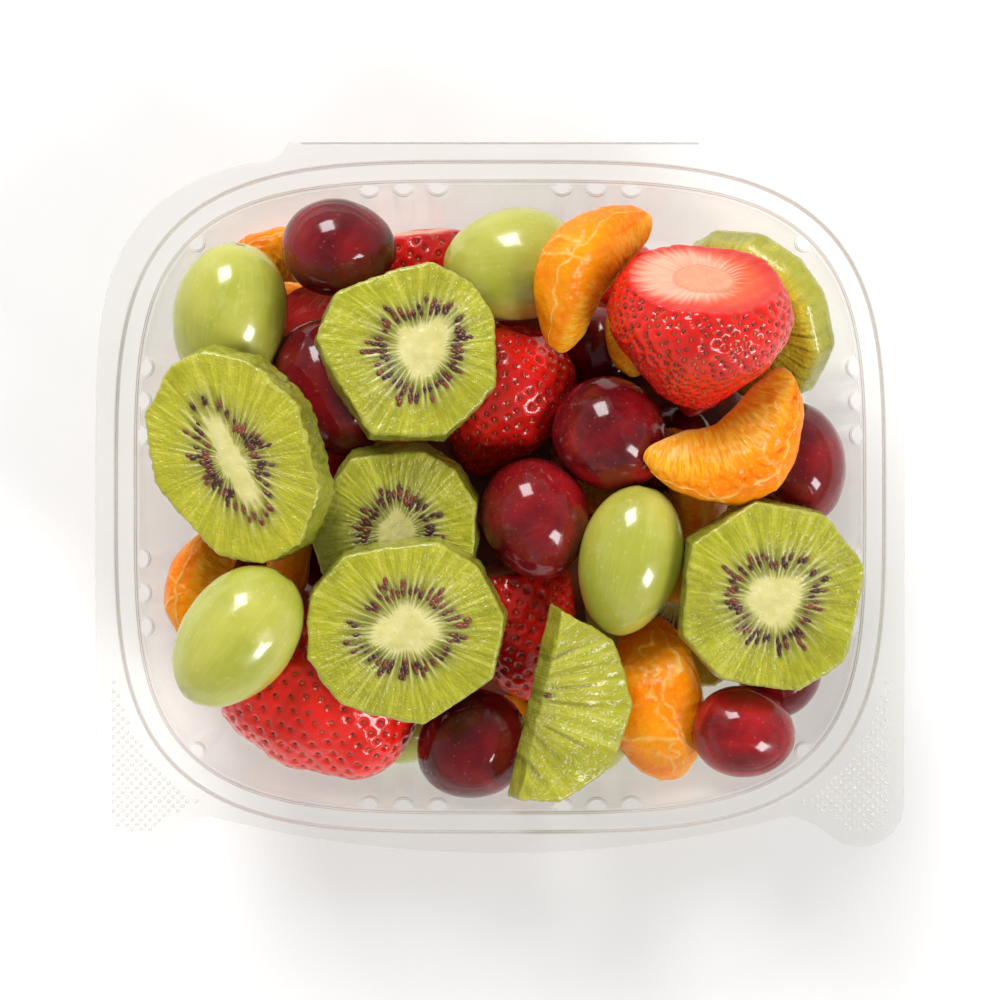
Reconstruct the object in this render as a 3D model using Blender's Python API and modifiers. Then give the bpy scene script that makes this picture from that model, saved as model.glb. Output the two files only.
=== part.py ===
"""Fruit salad in an open, clear deli tub.

The tub is a thin thermoformed shell: a fluted wall, a sealing ledge, and a flange with a hinge strip
at the back and a thumb tab at each front corner. Every piece of fruit that shows from above is a
solid of its own, settled against its neighbours and the wall. The bed of fruit is what fills the
room they leave at the bottom.

Metres, +Z up, +Y towards the hinge strip. The origin is at the middle of the base.
"""
import math

import bmesh
import bpy
import numpy as np
from mathutils import Matrix, Vector

MM = 0.001
GAP = 0.35 * MM                  # clearance between touching pieces

# The tub
RIM_LENGTH = 176.6 * MM          # along X, at the foot of the flange
RIM_WIDTH = 154.2 * MM           # along Y, at the foot of the flange
RIM_SQUARENESS = 3.6             # exponent of the rim's superellipse
TUB_HEIGHT = 50 * MM
SHEET = 0.5 * MM                 # thickness of the plastic
LEDGE_DROP = 3.5 * MM            # from the flange down to the ledge
LEDGE_WIDTH = 3.8 * MM
LEDGE_DRAFT = 0.4 * MM
RIB_TOP = 42 * MM
RIB_FOOT = 6 * MM
RIB_DEPTH = 2.3 * MM
RIB_WIDTH = 4.4 * MM
RIB_GROUP = (14.4 * MM, 22.4 * MM, 30.5 * MM)    # distances of the ribs from the middle of a wall
CORNER_RIB_BEARING = 49.7        # degrees from the back or the front wall's middle
WALL_TOP_INSET = 5.0 * MM
WALL_FOOT_INSET = 14 * MM
FLOOR_INSET = 17.5 * MM
COLUMN_SPACING = 7.5 * MM        # between plain columns of the shell
TAB_SPACING = 2.8 * MM           # the same beside a thumb tab
TAB_SPAN = (112, 150)            # bearings beside a thumb tab
FLANGE_LENGTH = 184.2 * MM       # overall, along X
FLANGE_BACK = 78.6 * MM          # reach of the flange at the back, under the hinge strip
FLANGE_SQUARENESS = 4.2
HINGE_REACH = 80.7 * MM
HINGE_HALF = 48.3 * MM
HINGE_FILLET = 4.5 * MM
TAB_RADIUS = 9.6 * MM
TAB_CENTRE_Y = -70.2 * MM
TAB_INNER_BEARING = 133          # degrees round the tab where its inner fillet starts
TAB_FILLET_END = (66.0 * MM, -72.6 * MM)
FRONT_REACH = 81.1 * MM

# The bed of fruit
BED_FOOT = 1.1 * MM
BED_LEVEL = 9 * MM               # lowest level at which a piece lies
BED_CAP = 27 * MM                # level to which the bed fills what the pieces leave
BED_BUMP = 2.5 * MM
BED_BUMP_LENGTH = 31 * MM
BED_COLUMNS = 40
BED_RINGS = (1.0, 0.9, 0.78, 0.64, 0.48, 0.28)
BED_CLEARANCE = 1 * MM
SAMPLES = 6                      # parts into which a face's edges are divided for its sample points

# Settling
DIRECTIONS = 700                 # directions in which two pieces are tried for a gap
WALL_PLANE_STEP = 6              # degrees between the planes that stand for the wall
SETTLE_ROUNDS = 160
PARTING_ROUNDS = 60
SINK = 0.15 * MM                 # fall of a piece in a round
PUSHES = 3                       # times that neighbours push each other in a round
PULL = (0.3, 0.3, 0.05)          # share of its way in X, Y and Z that a piece goes back in a round
FLAT_AREA = 40 * MM * MM         # faces larger than this give directions of their own

# The fruit
KIWI_TAPER = 1.2 * MM            # by which the lower face is larger
KIWI_BEVEL = 1.1 * MM
KIWI_HALF_OFFSET = 1.5 * MM      # of the half slice's chord from the middle
GRAPE_FULLNESS = 0.06            # by which one end is wider
STRAWBERRY_TAPER = 0.34          # the nearer the tip, the narrower
STRAWBERRY_BULGE = 0.12          # and the narrower towards both ends
STRAWBERRY_CUT = 0.34            # height of the hulling cut, as a share of the length
MANDARIN_MIDDLE = 0.78           # thickness at the middle, as a share
MANDARIN_WEDGE = 0.34            # added at the back and taken off at the inner edge


def remove_everything():
    for old in list(bpy.data.objects):
        bpy.data.objects.remove(old, do_unlink=True)


def make_material(name, colour, roughness, alpha=1.0):
    material = bpy.data.materials.new(name)
    material.use_nodes = True
    shader = material.node_tree.nodes["Principled BSDF"]
    shader.inputs["Base Color"].default_value = (*colour, 1.0)
    shader.inputs["Roughness"].default_value = roughness
    shader.inputs["Metallic"].default_value = 0.0
    shader.inputs["Alpha"].default_value = alpha
    material.diffuse_color = (*colour, alpha)
    return material


def add_object(name, mesh_builder, material, collection):
    """Turn a bmesh into an object of its own in the collection."""
    mesh = bpy.data.meshes.new(name)
    mesh_builder.to_mesh(mesh)
    mesh_builder.free()
    mesh.materials.append(material)
    thing = bpy.data.objects.new(name, mesh)
    collection.objects.link(thing)
    return thing


# ---- the tub -------------------------------------------------------------------------------------

def superellipse(bearing, half_x, half_y, squareness):
    """Point of a superellipse at a bearing: 0 at the back (+Y), 90 at +X, in degrees."""
    x = math.sin(math.radians(bearing))
    y = math.cos(math.radians(bearing))
    radius = (abs(x / half_x) ** squareness + abs(y / half_y) ** squareness) ** (-1 / squareness)
    return Vector((x * radius, y * radius))


def rim_point(bearing):
    return superellipse(bearing, RIM_LENGTH / 2, RIM_WIDTH / 2, RIM_SQUARENESS)


def rim_normal(bearing):
    """Outward direction of the rim, from the gradient of the superellipse."""
    point = rim_point(bearing)
    power = RIM_SQUARENESS - 1
    slope_x = math.copysign(abs(2 * point.x / RIM_LENGTH) ** power / RIM_LENGTH, point.x)
    slope_y = math.copysign(abs(2 * point.y / RIM_WIDTH) ** power / RIM_WIDTH, point.y)
    return Vector((slope_x, slope_y)).normalized()


def inset_point(bearing, inset):
    return rim_point(bearing) - rim_normal(bearing) * inset


def arc(centre, radius, start, end, fraction):
    """Point on a circle, from the angle start to the angle end, in degrees from +X."""
    angle = math.radians(start + (end - start) * fraction)
    return Vector((centre[0] + radius * math.cos(angle), centre[1] + radius * math.sin(angle)))


def bend(start, corner, end, fraction):
    """Point on a curve that leaves start towards corner and arrives at end from it."""
    first = Vector(start).lerp(Vector(corner), fraction)
    return first.lerp(Vector(corner).lerp(Vector(end), fraction), fraction)


def flange_edge(bearing):
    """Outer edge of the flange on the right half, at the rim's bearing from 0 to 180 degrees."""
    half = FLANGE_LENGTH / 2
    hinge_bearing = 33.0
    fillet_bearing = 37.5
    side_bearing = 90.0
    tab_bearing = 125.0
    inner_bearing = 135.0
    front_bearing = 138.5
    tab_centre = (half - TAB_RADIUS, TAB_CENTRE_Y)
    tab_end = arc(tab_centre, TAB_RADIUS, 0, -TAB_INNER_BEARING, 1)
    if bearing <= hinge_bearing:
        return Vector((HINGE_HALF * bearing / hinge_bearing, HINGE_REACH))
    fillet_end = superellipse(fillet_bearing, half, FLANGE_BACK, FLANGE_SQUARENESS)
    if bearing <= fillet_bearing:
        step = (bearing - hinge_bearing) / (fillet_bearing - hinge_bearing)
        corner = (HINGE_HALF + 1 * MM, HINGE_REACH - HINGE_FILLET)
        return bend((HINGE_HALF, HINGE_REACH), corner, fillet_end, step)
    if bearing <= side_bearing:
        return superellipse(bearing, half, FLANGE_BACK, FLANGE_SQUARENESS)
    if bearing <= tab_bearing:
        step = (bearing - side_bearing) / (tab_bearing - side_bearing)
        return Vector((half, TAB_CENTRE_Y * step))
    if bearing <= inner_bearing:
        step = (bearing - tab_bearing) / (inner_bearing - tab_bearing)
        return arc(tab_centre, TAB_RADIUS, 0, -TAB_INNER_BEARING, step)
    if bearing <= front_bearing:
        step = (bearing - inner_bearing) / (front_bearing - inner_bearing)
        corner = (TAB_FILLET_END[0] + 5.5 * MM, TAB_FILLET_END[1] - 0.6 * MM)
        return bend(tab_end, corner, TAB_FILLET_END, step)
    # the front edge is an arc from the end of the fillet to the middle of the front
    reach = TAB_FILLET_END[0]
    sag = FRONT_REACH + TAB_FILLET_END[1]
    radius = (reach ** 2 + sag ** 2) / (2 * sag)
    sweep = math.degrees(math.asin(reach / radius))
    step = (bearing - front_bearing) / (180 - front_bearing)
    return arc((0, radius - FRONT_REACH), radius, -90 + sweep, -90, step)


def bearing_where(test):
    """First bearing on the right half at which the test holds."""
    return next(step / 50 for step in range(50 * 180) if test(rim_point(step / 50)))


def rib_bearings():
    """Middles of the ribs on the right half, from the back round to the front."""
    back = [bearing_where(lambda point, x=x: point.x >= x) for x in RIB_GROUP]
    side = [bearing_where(lambda point, y=y: point.y <= y) for y in reversed(RIB_GROUP)]
    quarter = back + [CORNER_RIB_BEARING] + side
    return quarter + [180 - bearing for bearing in reversed(quarter)]


def shell_columns():
    """Bearing and rib depth of each column of the right half, from the back to the front."""
    columns = [(0.0, 0.0)]
    for middle in rib_bearings() + [None]:
        last = columns[-1][0]
        if middle is None:
            following = 180.0
        else:
            radius = rim_point(middle).length * rim_normal(middle).dot(rim_point(middle).normalized())
            half = math.degrees(RIB_WIDTH / 2 / radius)
            following = middle - half
        length = (rim_point(following) - rim_point(last)).length
        spacing = TAB_SPACING if TAB_SPAN[0] < last < TAB_SPAN[1] else COLUMN_SPACING
        pieces = max(1, round(length / spacing))
        for piece in range(1, pieces + 1):
            columns.append((last + (following - last) * piece / pieces, 0.0))
        if middle is not None:
            columns.append((middle, RIB_DEPTH))
            columns.append((middle + half, 0.0))
    return columns


def wall_section():
    """Profile of the shell's outer face from the floor up: inset from the rim, height, rib share."""
    ledge = TUB_HEIGHT - LEDGE_DROP - SHEET
    return (
        (FLOOR_INSET, 0.0, 0.0),
        (WALL_FOOT_INSET + 0.6 * MM, 2.2 * MM, 0.0),
        (WALL_FOOT_INSET - 0.4 * MM, RIB_FOOT, 0.0),
        (WALL_TOP_INSET + 0.1 * MM, RIB_TOP - 0.5 * MM, 1.0),
        (WALL_TOP_INSET, RIB_TOP, 0.0),
        (LEDGE_WIDTH + LEDGE_DRAFT, ledge, 0.0),
        (LEDGE_DRAFT, ledge, 0.0),
        (0.0, TUB_HEIGHT - SHEET, 0.0),
    )


def wall_inset(height):
    """Inset of the plain wall at a height."""
    section = wall_section()[:6]
    return float(np.interp(height, [row[1] for row in section], [row[0] for row in section]))


def build_tub(material, collection):
    """Loft the section round the rim, mirror it and give the sheet its thickness."""
    builder = bmesh.new()
    rings = []
    columns = shell_columns()
    both = [(bearing, depth, 1) for bearing, depth in columns]
    both += [(bearing, depth, -1) for bearing, depth in reversed(columns[1:-1])]
    for inset, height, share in wall_section():
        ring = []
        for bearing, depth, side in both:
            point = inset_point(bearing, inset + depth * share)
            ring.append(builder.verts.new((side * point.x, point.y, height)))
        rings.append(ring)
    edge = []
    for bearing, _, side in both:
        point = flange_edge(bearing)
        edge.append(builder.verts.new((side * point.x, point.y, TUB_HEIGHT - SHEET)))
    rings.append(edge)
    count = len(both)
    for low, high in zip(rings, rings[1:]):
        for index in range(count):
            following = (index + 1) % count
            builder.faces.new((low[index], high[index], high[following], low[following]))
    builder.faces.new(rings[0])
    thing = add_object("tub", builder, material, collection)
    wall = thing.modifiers.new("Sheet", "SOLIDIFY")
    wall.thickness = SHEET
    wall.offset = -1
    return thing


# ---- the bed -------------------------------------------------------------------------------------

def bed_cap(x, y):
    """Highest level of the bed: two crossing waves."""
    turn = 2 * math.pi / BED_BUMP_LENGTH
    return BED_CAP + BED_BUMP * math.sin(turn * (x + 0.3 * y)) * math.cos(turn * (y - 0.2 * x))


def border_point(bearing, height):
    """Point of the bed's side, a clearance inside the wall and its ribs."""
    return inset_point(bearing, wall_inset(height) + RIB_DEPTH + SHEET + GAP)


def undersides(shapes, places):
    """Lowest height that a piece reaches in each cell of the bed's rings and columns."""
    lowest = np.full((len(BED_RINGS), BED_COLUMNS), np.inf)
    borders = np.array([border_point(bearing, BED_CAP).length for bearing in range(361)])
    weights = [(i, j, SAMPLES - i - j) for i in range(SAMPLES + 1) for j in range(SAMPLES + 1 - i)]
    weights = np.array(weights) / SAMPLES
    for (_, _, triangles), place in zip(shapes, places):
        points = (weights @ triangles).reshape(-1, 3) + place
        bearings = np.degrees(np.arctan2(points[:, 0], points[:, 1])) % 360
        shares = np.hypot(points[:, 0], points[:, 1]) / np.interp(bearings, range(361), borders)
        rings = len(BED_RINGS) - 1 - np.searchsorted(BED_RINGS[:0:-1], shares)
        columns = (bearings * BED_COLUMNS / 360).astype(int) % BED_COLUMNS
        np.minimum.at(lowest, (rings, columns), points[:, 2])
    return lowest


def build_bed(material, collection, shapes, places):
    """Rings of points from the foot up the wall and in over a top that fills what the pieces leave."""
    builder = bmesh.new()
    lowest = undersides(shapes, places)
    step = 360 / BED_COLUMNS
    rings = []
    for height in (BED_FOOT, RIB_FOOT):
        ring = [border_point(column * step, height) for column in range(BED_COLUMNS)]
        rings.append([builder.verts.new((point.x, point.y, height)) for point in ring])
    for number, share in enumerate(BED_RINGS):
        ring = []
        for column in range(BED_COLUMNS):
            near = lowest[max(number - 1, 0):number + 1, [column - 1, column]]
            plain = border_point(column * step, BED_CAP) * share
            height = min(bed_cap(*plain), float(near.min()) - BED_CLEARANCE)
            point = border_point(column * step, height) if number == 0 else plain
            ring.append(builder.verts.new((point.x, point.y, height)))
        rings.append(ring)
    for low, high in zip(rings, rings[1:]):
        for index in range(BED_COLUMNS):
            following = (index + 1) % BED_COLUMNS
            builder.faces.new((low[index], high[index], high[following], low[following]))
    builder.faces.new(rings[0])
    height = min(bed_cap(0, 0), float(lowest[-1].min()) - BED_CLEARANCE)
    middle = builder.verts.new((0, 0, height))
    for index in range(BED_COLUMNS):
        following = (index + 1) % BED_COLUMNS
        builder.faces.new((rings[-1][index], middle, rings[-1][following]))
    return add_object("fruit_bed", builder, material, collection)


# ---- the fruit, each about its own middle ---------------------------------------------------------

def cut_away(builder, point, normal):
    """Remove what lies on the normal's side of a plane and close the cut."""
    everything = builder.verts[:] + builder.edges[:] + builder.faces[:]
    cut = bmesh.ops.bisect_plane(builder, geom=everything, plane_co=point, plane_no=normal,
                                 clear_outer=True)
    edges = [item for item in cut["geom_cut"] if isinstance(item, bmesh.types.BMEdge)]
    bmesh.ops.edgeloop_fill(builder, edges=edges)
    builder.normal_update()
    bmesh.ops.recalc_face_normals(builder, faces=builder.faces[:])


def kiwi(corners, radius=22 * MM, thick=12 * MM, stretch=1.0, along=0.0, halved=None):
    """Slice of a peeled kiwi: knife facets between corners at the given bearings.

    The slice is stretched along one bearing where the cut ran aslant through the fruit, and the
    half slice is what lies on one side of a chord.
    """
    builder = bmesh.new()
    bmesh.ops.create_cone(builder, cap_ends=True, segments=len(corners), radius1=radius + KIWI_TAPER,
                          radius2=radius, depth=thick)
    for level in (-1, 1):
        ring = [vert for vert in builder.verts if vert.co.z * level > 0]
        ring.sort(key=lambda vert: math.atan2(vert.co.y, vert.co.x) % (2 * math.pi))
        for vert, corner in zip(ring, sorted(corners)):
            reach = vert.co.xy.length
            vert.co.x = reach * math.cos(math.radians(corner))
            vert.co.y = reach * math.sin(math.radians(corner))
    turn = Matrix.Rotation(math.radians(along), 4, "Z")
    stretching = turn @ Matrix.Diagonal((stretch, 1, 1, 1)) @ turn.inverted()
    bmesh.ops.transform(builder, matrix=stretching, verts=builder.verts[:])
    if halved is not None:
        away = Vector((math.cos(math.radians(halved)), math.sin(math.radians(halved)), 0))
        cut_away(builder, away * KIWI_HALF_OFFSET, away)
    return builder


def grape(length, width):
    """Grape along X, a little fuller at one end."""
    builder = bmesh.new()
    bmesh.ops.create_uvsphere(builder, u_segments=10, v_segments=7, radius=1)
    for vert in builder.verts:
        along, across, up = vert.co.z, vert.co.x, vert.co.y
        fullness = 1 + GRAPE_FULLNESS * along
        vert.co = Vector((along * length / 2, across * fullness * width / 2, up * fullness * width / 2))
    return builder


def strawberry(length, width, halved=False):
    """Hulled strawberry along Z with its tip down: a sphere drawn out to a point, cut flat on top.

    A half berry keeps what lies on the -X side.
    """
    builder = bmesh.new()
    bmesh.ops.create_uvsphere(builder, u_segments=12, v_segments=8, radius=1)
    for vert in builder.verts:
        up = vert.co.z
        taper = 1 + STRAWBERRY_TAPER * up - STRAWBERRY_BULGE * up * up
        vert.co = Vector((vert.co.x * taper * width / 2, vert.co.y * taper * width / 2, up * length / 2))
    cut_away(builder, Vector((0, 0, STRAWBERRY_CUT * length)), Vector((0, 0, 1)))
    if halved:
        cut_away(builder, Vector(), Vector((1, 0, 0)))
    return builder


def mandarin(length, depth, thick, curl=0.3):
    """Segment along X with its round back at +Y: a flattened sphere, bent and thinned to its edge.

    Its back is full and its inner edge thin, by shares of the thickness.
    """
    builder = bmesh.new()
    bmesh.ops.create_uvsphere(builder, u_segments=10, v_segments=8, radius=1)
    for vert in builder.verts:
        along, out, up = vert.co.z, vert.co.x, vert.co.y
        bent = out * depth / 2 - curl * depth * along * along
        wedge = MANDARIN_MIDDLE + MANDARIN_WEDGE * out
        vert.co = Vector((along * length / 2, bent + curl * depth / 3, up * wedge * thick / 2))
    return builder


# ---- settling ------------------------------------------------------------------------------------

def spread_directions(count):
    """Directions spread evenly over the upper half of a sphere along a spiral."""
    index = np.arange(count) + 0.5
    height = 1 - index / count
    angle = index * math.pi * (3 - math.sqrt(5))
    flat = np.sqrt(1 - height * height)
    return np.stack([flat * np.cos(angle), flat * np.sin(angle), height], axis=1)


def reach_along(corners, directions):
    """Furthest reach of each cloud of corners along each direction."""
    return np.stack([(cloud @ directions.T).max(axis=0) for cloud in corners])


def rib_shapes():
    """Corners of every rib on the inside of the wall."""
    columns = shell_columns()
    shapes = []
    for index, (_, depth) in enumerate(columns):
        if depth == 0:
            continue
        corners = []
        for bearing, deep in columns[index - 1:index + 2]:
            for inset, height, share in wall_section()[2:5]:
                point = inset_point(bearing, inset + deep * share + SHEET)
                corners.append((point.x, point.y, height))
        corners = np.array(corners)
        shapes += [corners, corners * (-1, 1, 1)]
    return shapes


def wall_planes():
    """Outward normals and distances of the planes that touch the tub's plain inner wall."""
    rise = RIB_TOP - RIB_FOOT
    draft = math.atan2(WALL_FOOT_INSET - WALL_TOP_INSET, rise)
    clearance = SHEET + GAP
    normals = []
    distances = []
    for bearing in range(0, 360, WALL_PLANE_STEP):
        outward = rim_normal(bearing)
        point = inset_point(bearing, WALL_TOP_INSET + clearance)
        normal = Vector((*(outward * math.cos(draft)), -math.sin(draft)))
        normals.append(normal)
        distances.append(Vector((point.x, point.y, RIB_TOP)).dot(normal))
    normals.append(Vector((0, 0, -1)))
    distances.append(-BED_LEVEL - GAP)
    return np.array(normals), np.array(distances)


def settle(corners, faces, wanted):
    """Places of the pieces after they have sunk and pushed each other apart.

    Each round lowers every piece a little and draws it towards its wanted place. Then each
    pair that is too close moves apart along the direction in which it overlaps least, and the walls
    and the bed push back. The last rounds only part the pieces.
    """
    count = len(corners)
    ribs = rib_shapes()
    directions = np.concatenate([spread_directions(DIRECTIONS), faces])
    forward = reach_along(corners + ribs, directions)
    backward = reach_along(corners + ribs, -directions)
    normals, distances = wall_planes()
    outward = reach_along(corners, normals)
    first, second = np.triu_indices(count + len(ribs), 1)
    first, second = first[first < count], second[first < count]
    share = np.where(second < count, 0.5, 1.0)[:, None]
    needed = forward[first] + backward[second]
    needed_back = backward[first] + forward[second]
    places = np.zeros((count + len(ribs), 3))
    places[:count] = wanted
    for step in range(SETTLE_ROUNDS + PARTING_ROUNDS):
        if step < SETTLE_ROUNDS:
            places[:count] += (wanted - places[:count]) * PULL
            places[:count, 2] -= SINK
        for _ in range(PUSHES):
            apart = (places[second] - places[first]) @ directions.T
            gaps = apart - needed
            gaps_back = -apart - needed_back
            best = gaps.argmax(axis=1)
            best_back = gaps_back.argmax(axis=1)
            rows = np.arange(len(first))
            gap = gaps[rows, best]
            gap_back = gaps_back[rows, best_back]
            ahead = gap >= gap_back
            way = np.where(ahead[:, None], directions[best], -directions[best_back])
            lack = np.clip(GAP - np.where(ahead, gap, gap_back), 0, None)
            push = way * lack[:, None]
            np.add.at(places, first, -push * share)
            np.add.at(places, second, push * share)
            places[count:] = 0
            over = np.clip(places[:count] @ normals.T + outward - distances, 0, None)
            worst = over.argmax(axis=1)
            places[:count] -= normals[worst] * over[np.arange(count), worst][:, None]
    return places[:count]


# Kinds of fruit: colour and roughness
LOOKS = {
    "kiwi": ((0.42, 0.50, 0.06), 0.3),
    "green_grape": ((0.52, 0.57, 0.10), 0.2),
    "red_grape": ((0.12, 0.01, 0.02), 0.15),
    "strawberry": ((0.55, 0.02, 0.02), 0.25),
    "mandarin": ((0.95, 0.33, 0.02), 0.3),
}

# Each piece: name, kind, shape, the place in mm towards which its middle is drawn while it settles,
# and its turns about X, Y and Z in degrees. A slice is lowered towards its Z turn by its Y turn.
PIECES = [
    # the lowest layer, seen between the others
    ("kiwi_slice_7", "kiwi", kiwi((10, 58, 100, 150, 200, 245, 290, 330), 24 * MM, 11 * MM),
     (43.5, -23, 16), (0, 3, 200)),
    ("mandarin_5", "mandarin", mandarin(32 * MM, 15 * MM, 12 * MM), (-53, 56, 32), (10, -4, 12)),
    ("strawberry_6", "strawberry", strawberry(34 * MM, 28 * MM, True), (-42, 38, 20), (0, -84, 65)),
    ("strawberry_5", "strawberry", strawberry(30 * MM, 24 * MM), (-18, 52, 26), (0, 82, 95)),
    ("red_grape_9", "red_grape", grape(25 * MM, 21 * MM), (-59, -12, 22), (0, 0, 35)),
    ("red_grape_10", "red_grape", grape(25 * MM, 21 * MM), (-40, -16, 22), (0, 4, 120)),
    ("mandarin_4", "mandarin", mandarin(32 * MM, 16 * MM, 13 * MM), (-68, -22, 32), (12, 0, 84)),
    ("strawberry_4", "strawberry", strawberry(38 * MM, 28 * MM), (4, -29, 24), (0, 80, 98)),
    ("red_grape_11", "red_grape", grape(23 * MM, 20 * MM), (40, 12, 20), (0, 0, 20)),
    ("red_grape_12", "red_grape", grape(24 * MM, 20 * MM), (22, 33, 20), (0, 0, 80)),
    ("red_grape_8", "red_grape", grape(22 * MM, 19 * MM), (65, -42, 30), (0, 5, 60)),
    ("green_grape_5", "green_grape", grape(24 * MM, 19 * MM), (22.5, -56, 20), (0, 0, 100)),
    ("strawberry_3", "strawberry", strawberry(50 * MM, 36 * MM, True), (-48, -53.5, 40), (0, 94, 176)),
    # the middle layer
    ("red_grape_6", "red_grape", grape(27 * MM, 25 * MM), (-7.2, -59.5, 38), (0, 0, 30)),
    ("mandarin_3", "mandarin", mandarin(38 * MM, 25 * MM, 20 * MM, 0.22), (36, -48.5, 38), (52, 0, 98)),
    ("green_grape_1", "green_grape", grape(36 * MM, 26.5 * MM), (-61.5, 43.5, 36), (0, -12, 80)),
    ("red_grape_2", "red_grape", grape(33 * MM, 25 * MM), (-41.5, 24, 34), (0, 0, 118)),
    ("strawberry_2", "strawberry", strawberry(44 * MM, 32 * MM), (5.5, 22.5, 36), (0, 78, 72)),
    ("green_grape_2", "green_grape", grape(33 * MM, 26 * MM), (3.4, 53.6, 44), (0, -4, 4)),
    ("red_grape_5", "red_grape", grape(29 * MM, 24 * MM), (70, 8.5, 38), (0, 0, 110)),
    ("red_grape_7", "red_grape", grape(24 * MM, 21 * MM), (57.5, -53.3, 36), (0, -4, 170)),
    ("kiwi_slice_3", "kiwi", kiwi((19, 45, 71, 121, 178, 210, 250, 295, 336), 19.6 * MM, 11.5 * MM),
     (-22.1, -4, 42), (0, 9, 265)),
    ("kiwi_slice_6", "kiwi", kiwi((22, 47, 77, 112, 132, 180, 220, 265, 308, 347), 21.5 * MM, 9 * MM),
     (59, 43, 27), (0, 50, 217)),
    ("red_grape_4", "red_grape", grape(27.5 * MM, 26 * MM), (21.5, 15, 42), (0, 0, 140)),
    ("red_grape_3", "red_grape", grape(28.5 * MM, 25 * MM), (9.3, -5.5, 42), (0, 0, 105)),
    # the top layer
    ("kiwi_slice_2", "kiwi", kiwi((22, 46, 75, 142, 174, 246, 293, 337), 21 * MM, 12 * MM),
     (-20.5, 32.8, 54), (0, 5, 30)),
    ("kiwi_slice_1", "kiwi",
     kiwi((125, 100, 70, 35, 349, 313, 282, 252, 202, 164), 19 * MM, 12.5 * MM, 1.34, 117),
     (-59, 10.4, 50), (0, 13, 205)),
    ("kiwi_slice_4", "kiwi",
     kiwi((9, 44, 70, 127, 158, 196, 231, 281, 330), 21.6 * MM, 12 * MM, 1.06, 0),
     (-21.6, -30.2, 54), (0, 4, 265)),
    ("red_grape_1", "red_grape", grape(26.5 * MM, 22.5 * MM), (-36.9, 57.2, 48), (0, 0, 175)),
    ("mandarin_1", "mandarin", mandarin(38 * MM, 23 * MM, 16 * MM), (25, 48, 52), (48, 0, 56)),
    ("strawberry_1", "strawberry", strawberry(38 * MM, 40 * MM), (45, 38, 44), (0, 60, 86)),
    ("mandarin_2", "mandarin", mandarin(39 * MM, 23 * MM, 14 * MM, 0.34), (50, 16.5, 52), (8, 0, 212)),
    ("kiwi_slice_5", "kiwi", kiwi((18, 58, 100, 146, 204, 237, 286, 318), 22.1 * MM, 12 * MM),
     (60.2, -21, 48), (0, 4, 300)),
    ("green_grape_4", "green_grape", grape(36 * MM, 25.5 * MM), (-59, -32.5, 46), (0, 0, 52)),
    ("kiwi_slice_8", "kiwi",
     kiwi((0, 42, 83, 122, 164, 200, 250, 280, 320), 22.3 * MM, 11 * MM, 1.0, 0, 167),
     (11.6, -44.8, 45), (0, 16, 347)),
    ("green_grape_3", "green_grape", grape(35 * MM, 23.5 * MM), (30.8, -16, 48), (0, -6, 77)),
]


def add_piece(name, kind, builder, turns, materials, collection):
    if kind == "kiwi":
        # A slice's corners are given as seen from above, so the turn about Z is taken back first.
        back = Matrix.Rotation(-math.radians(turns[2]), 3, "Z")
        bmesh.ops.rotate(builder, cent=(0, 0, 0), matrix=back, verts=builder.verts[:])
    thing = add_object(name, builder, materials[kind], collection)
    if kind == "kiwi":
        edges = thing.modifiers.new("Edges", "BEVEL")
        edges.width = KIWI_BEVEL
        edges.segments = 1
    else:
        thing.data.shade_smooth()
    thing.rotation_euler = [math.radians(turn) for turn in turns]
    return thing


def turned_shape(thing):
    """The object about its own middle: corners, directions of large flat faces, and triangles."""
    seen = thing.evaluated_get(bpy.context.evaluated_depsgraph_get())
    mesh = seen.to_mesh()
    turn = seen.matrix_world.to_3x3()
    corners = np.array([turn @ vert.co for vert in mesh.vertices])
    faces = [turn @ face.normal for face in mesh.polygons if face.area > FLAT_AREA]
    mesh.calc_loop_triangles()
    triangles = corners[[list(triangle.vertices) for triangle in mesh.loop_triangles]]
    seen.to_mesh_clear()
    return corners, faces, triangles


def build():
    remove_everything()
    collection = bpy.data.collections.new("fruit_salad")
    bpy.context.scene.collection.children.link(collection)
    plastic = make_material("clear_plastic", (0.93, 0.93, 0.92), 0.1, 0.3)
    mixed = make_material("fruit_bed", (0.45, 0.28, 0.06), 0.3)
    materials = {kind: make_material(kind, *look) for kind, look in LOOKS.items()}
    build_tub(plastic, collection)
    things = [add_piece(name, kind, builder, turns, materials, collection)
              for name, kind, builder, _, turns in PIECES]
    bpy.context.view_layer.update()
    shapes = [turned_shape(thing) for thing in things]
    corners = [shape[0] for shape in shapes]
    faces = np.array([face for shape in shapes for face in shape[1]])
    wanted = np.array([piece[3] for piece in PIECES]) * MM
    places = settle(corners, faces, wanted)
    for thing, place in zip(things, places):
        thing.location = place
    build_bed(mixed, collection, shapes, places)


build()
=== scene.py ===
# Fruit salad in an open, clear deli tub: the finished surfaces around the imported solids.
import math

import bpy
import numpy as np
from mathutils import Euler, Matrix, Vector
from mathutils.bvhtree import BVHTree


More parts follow.
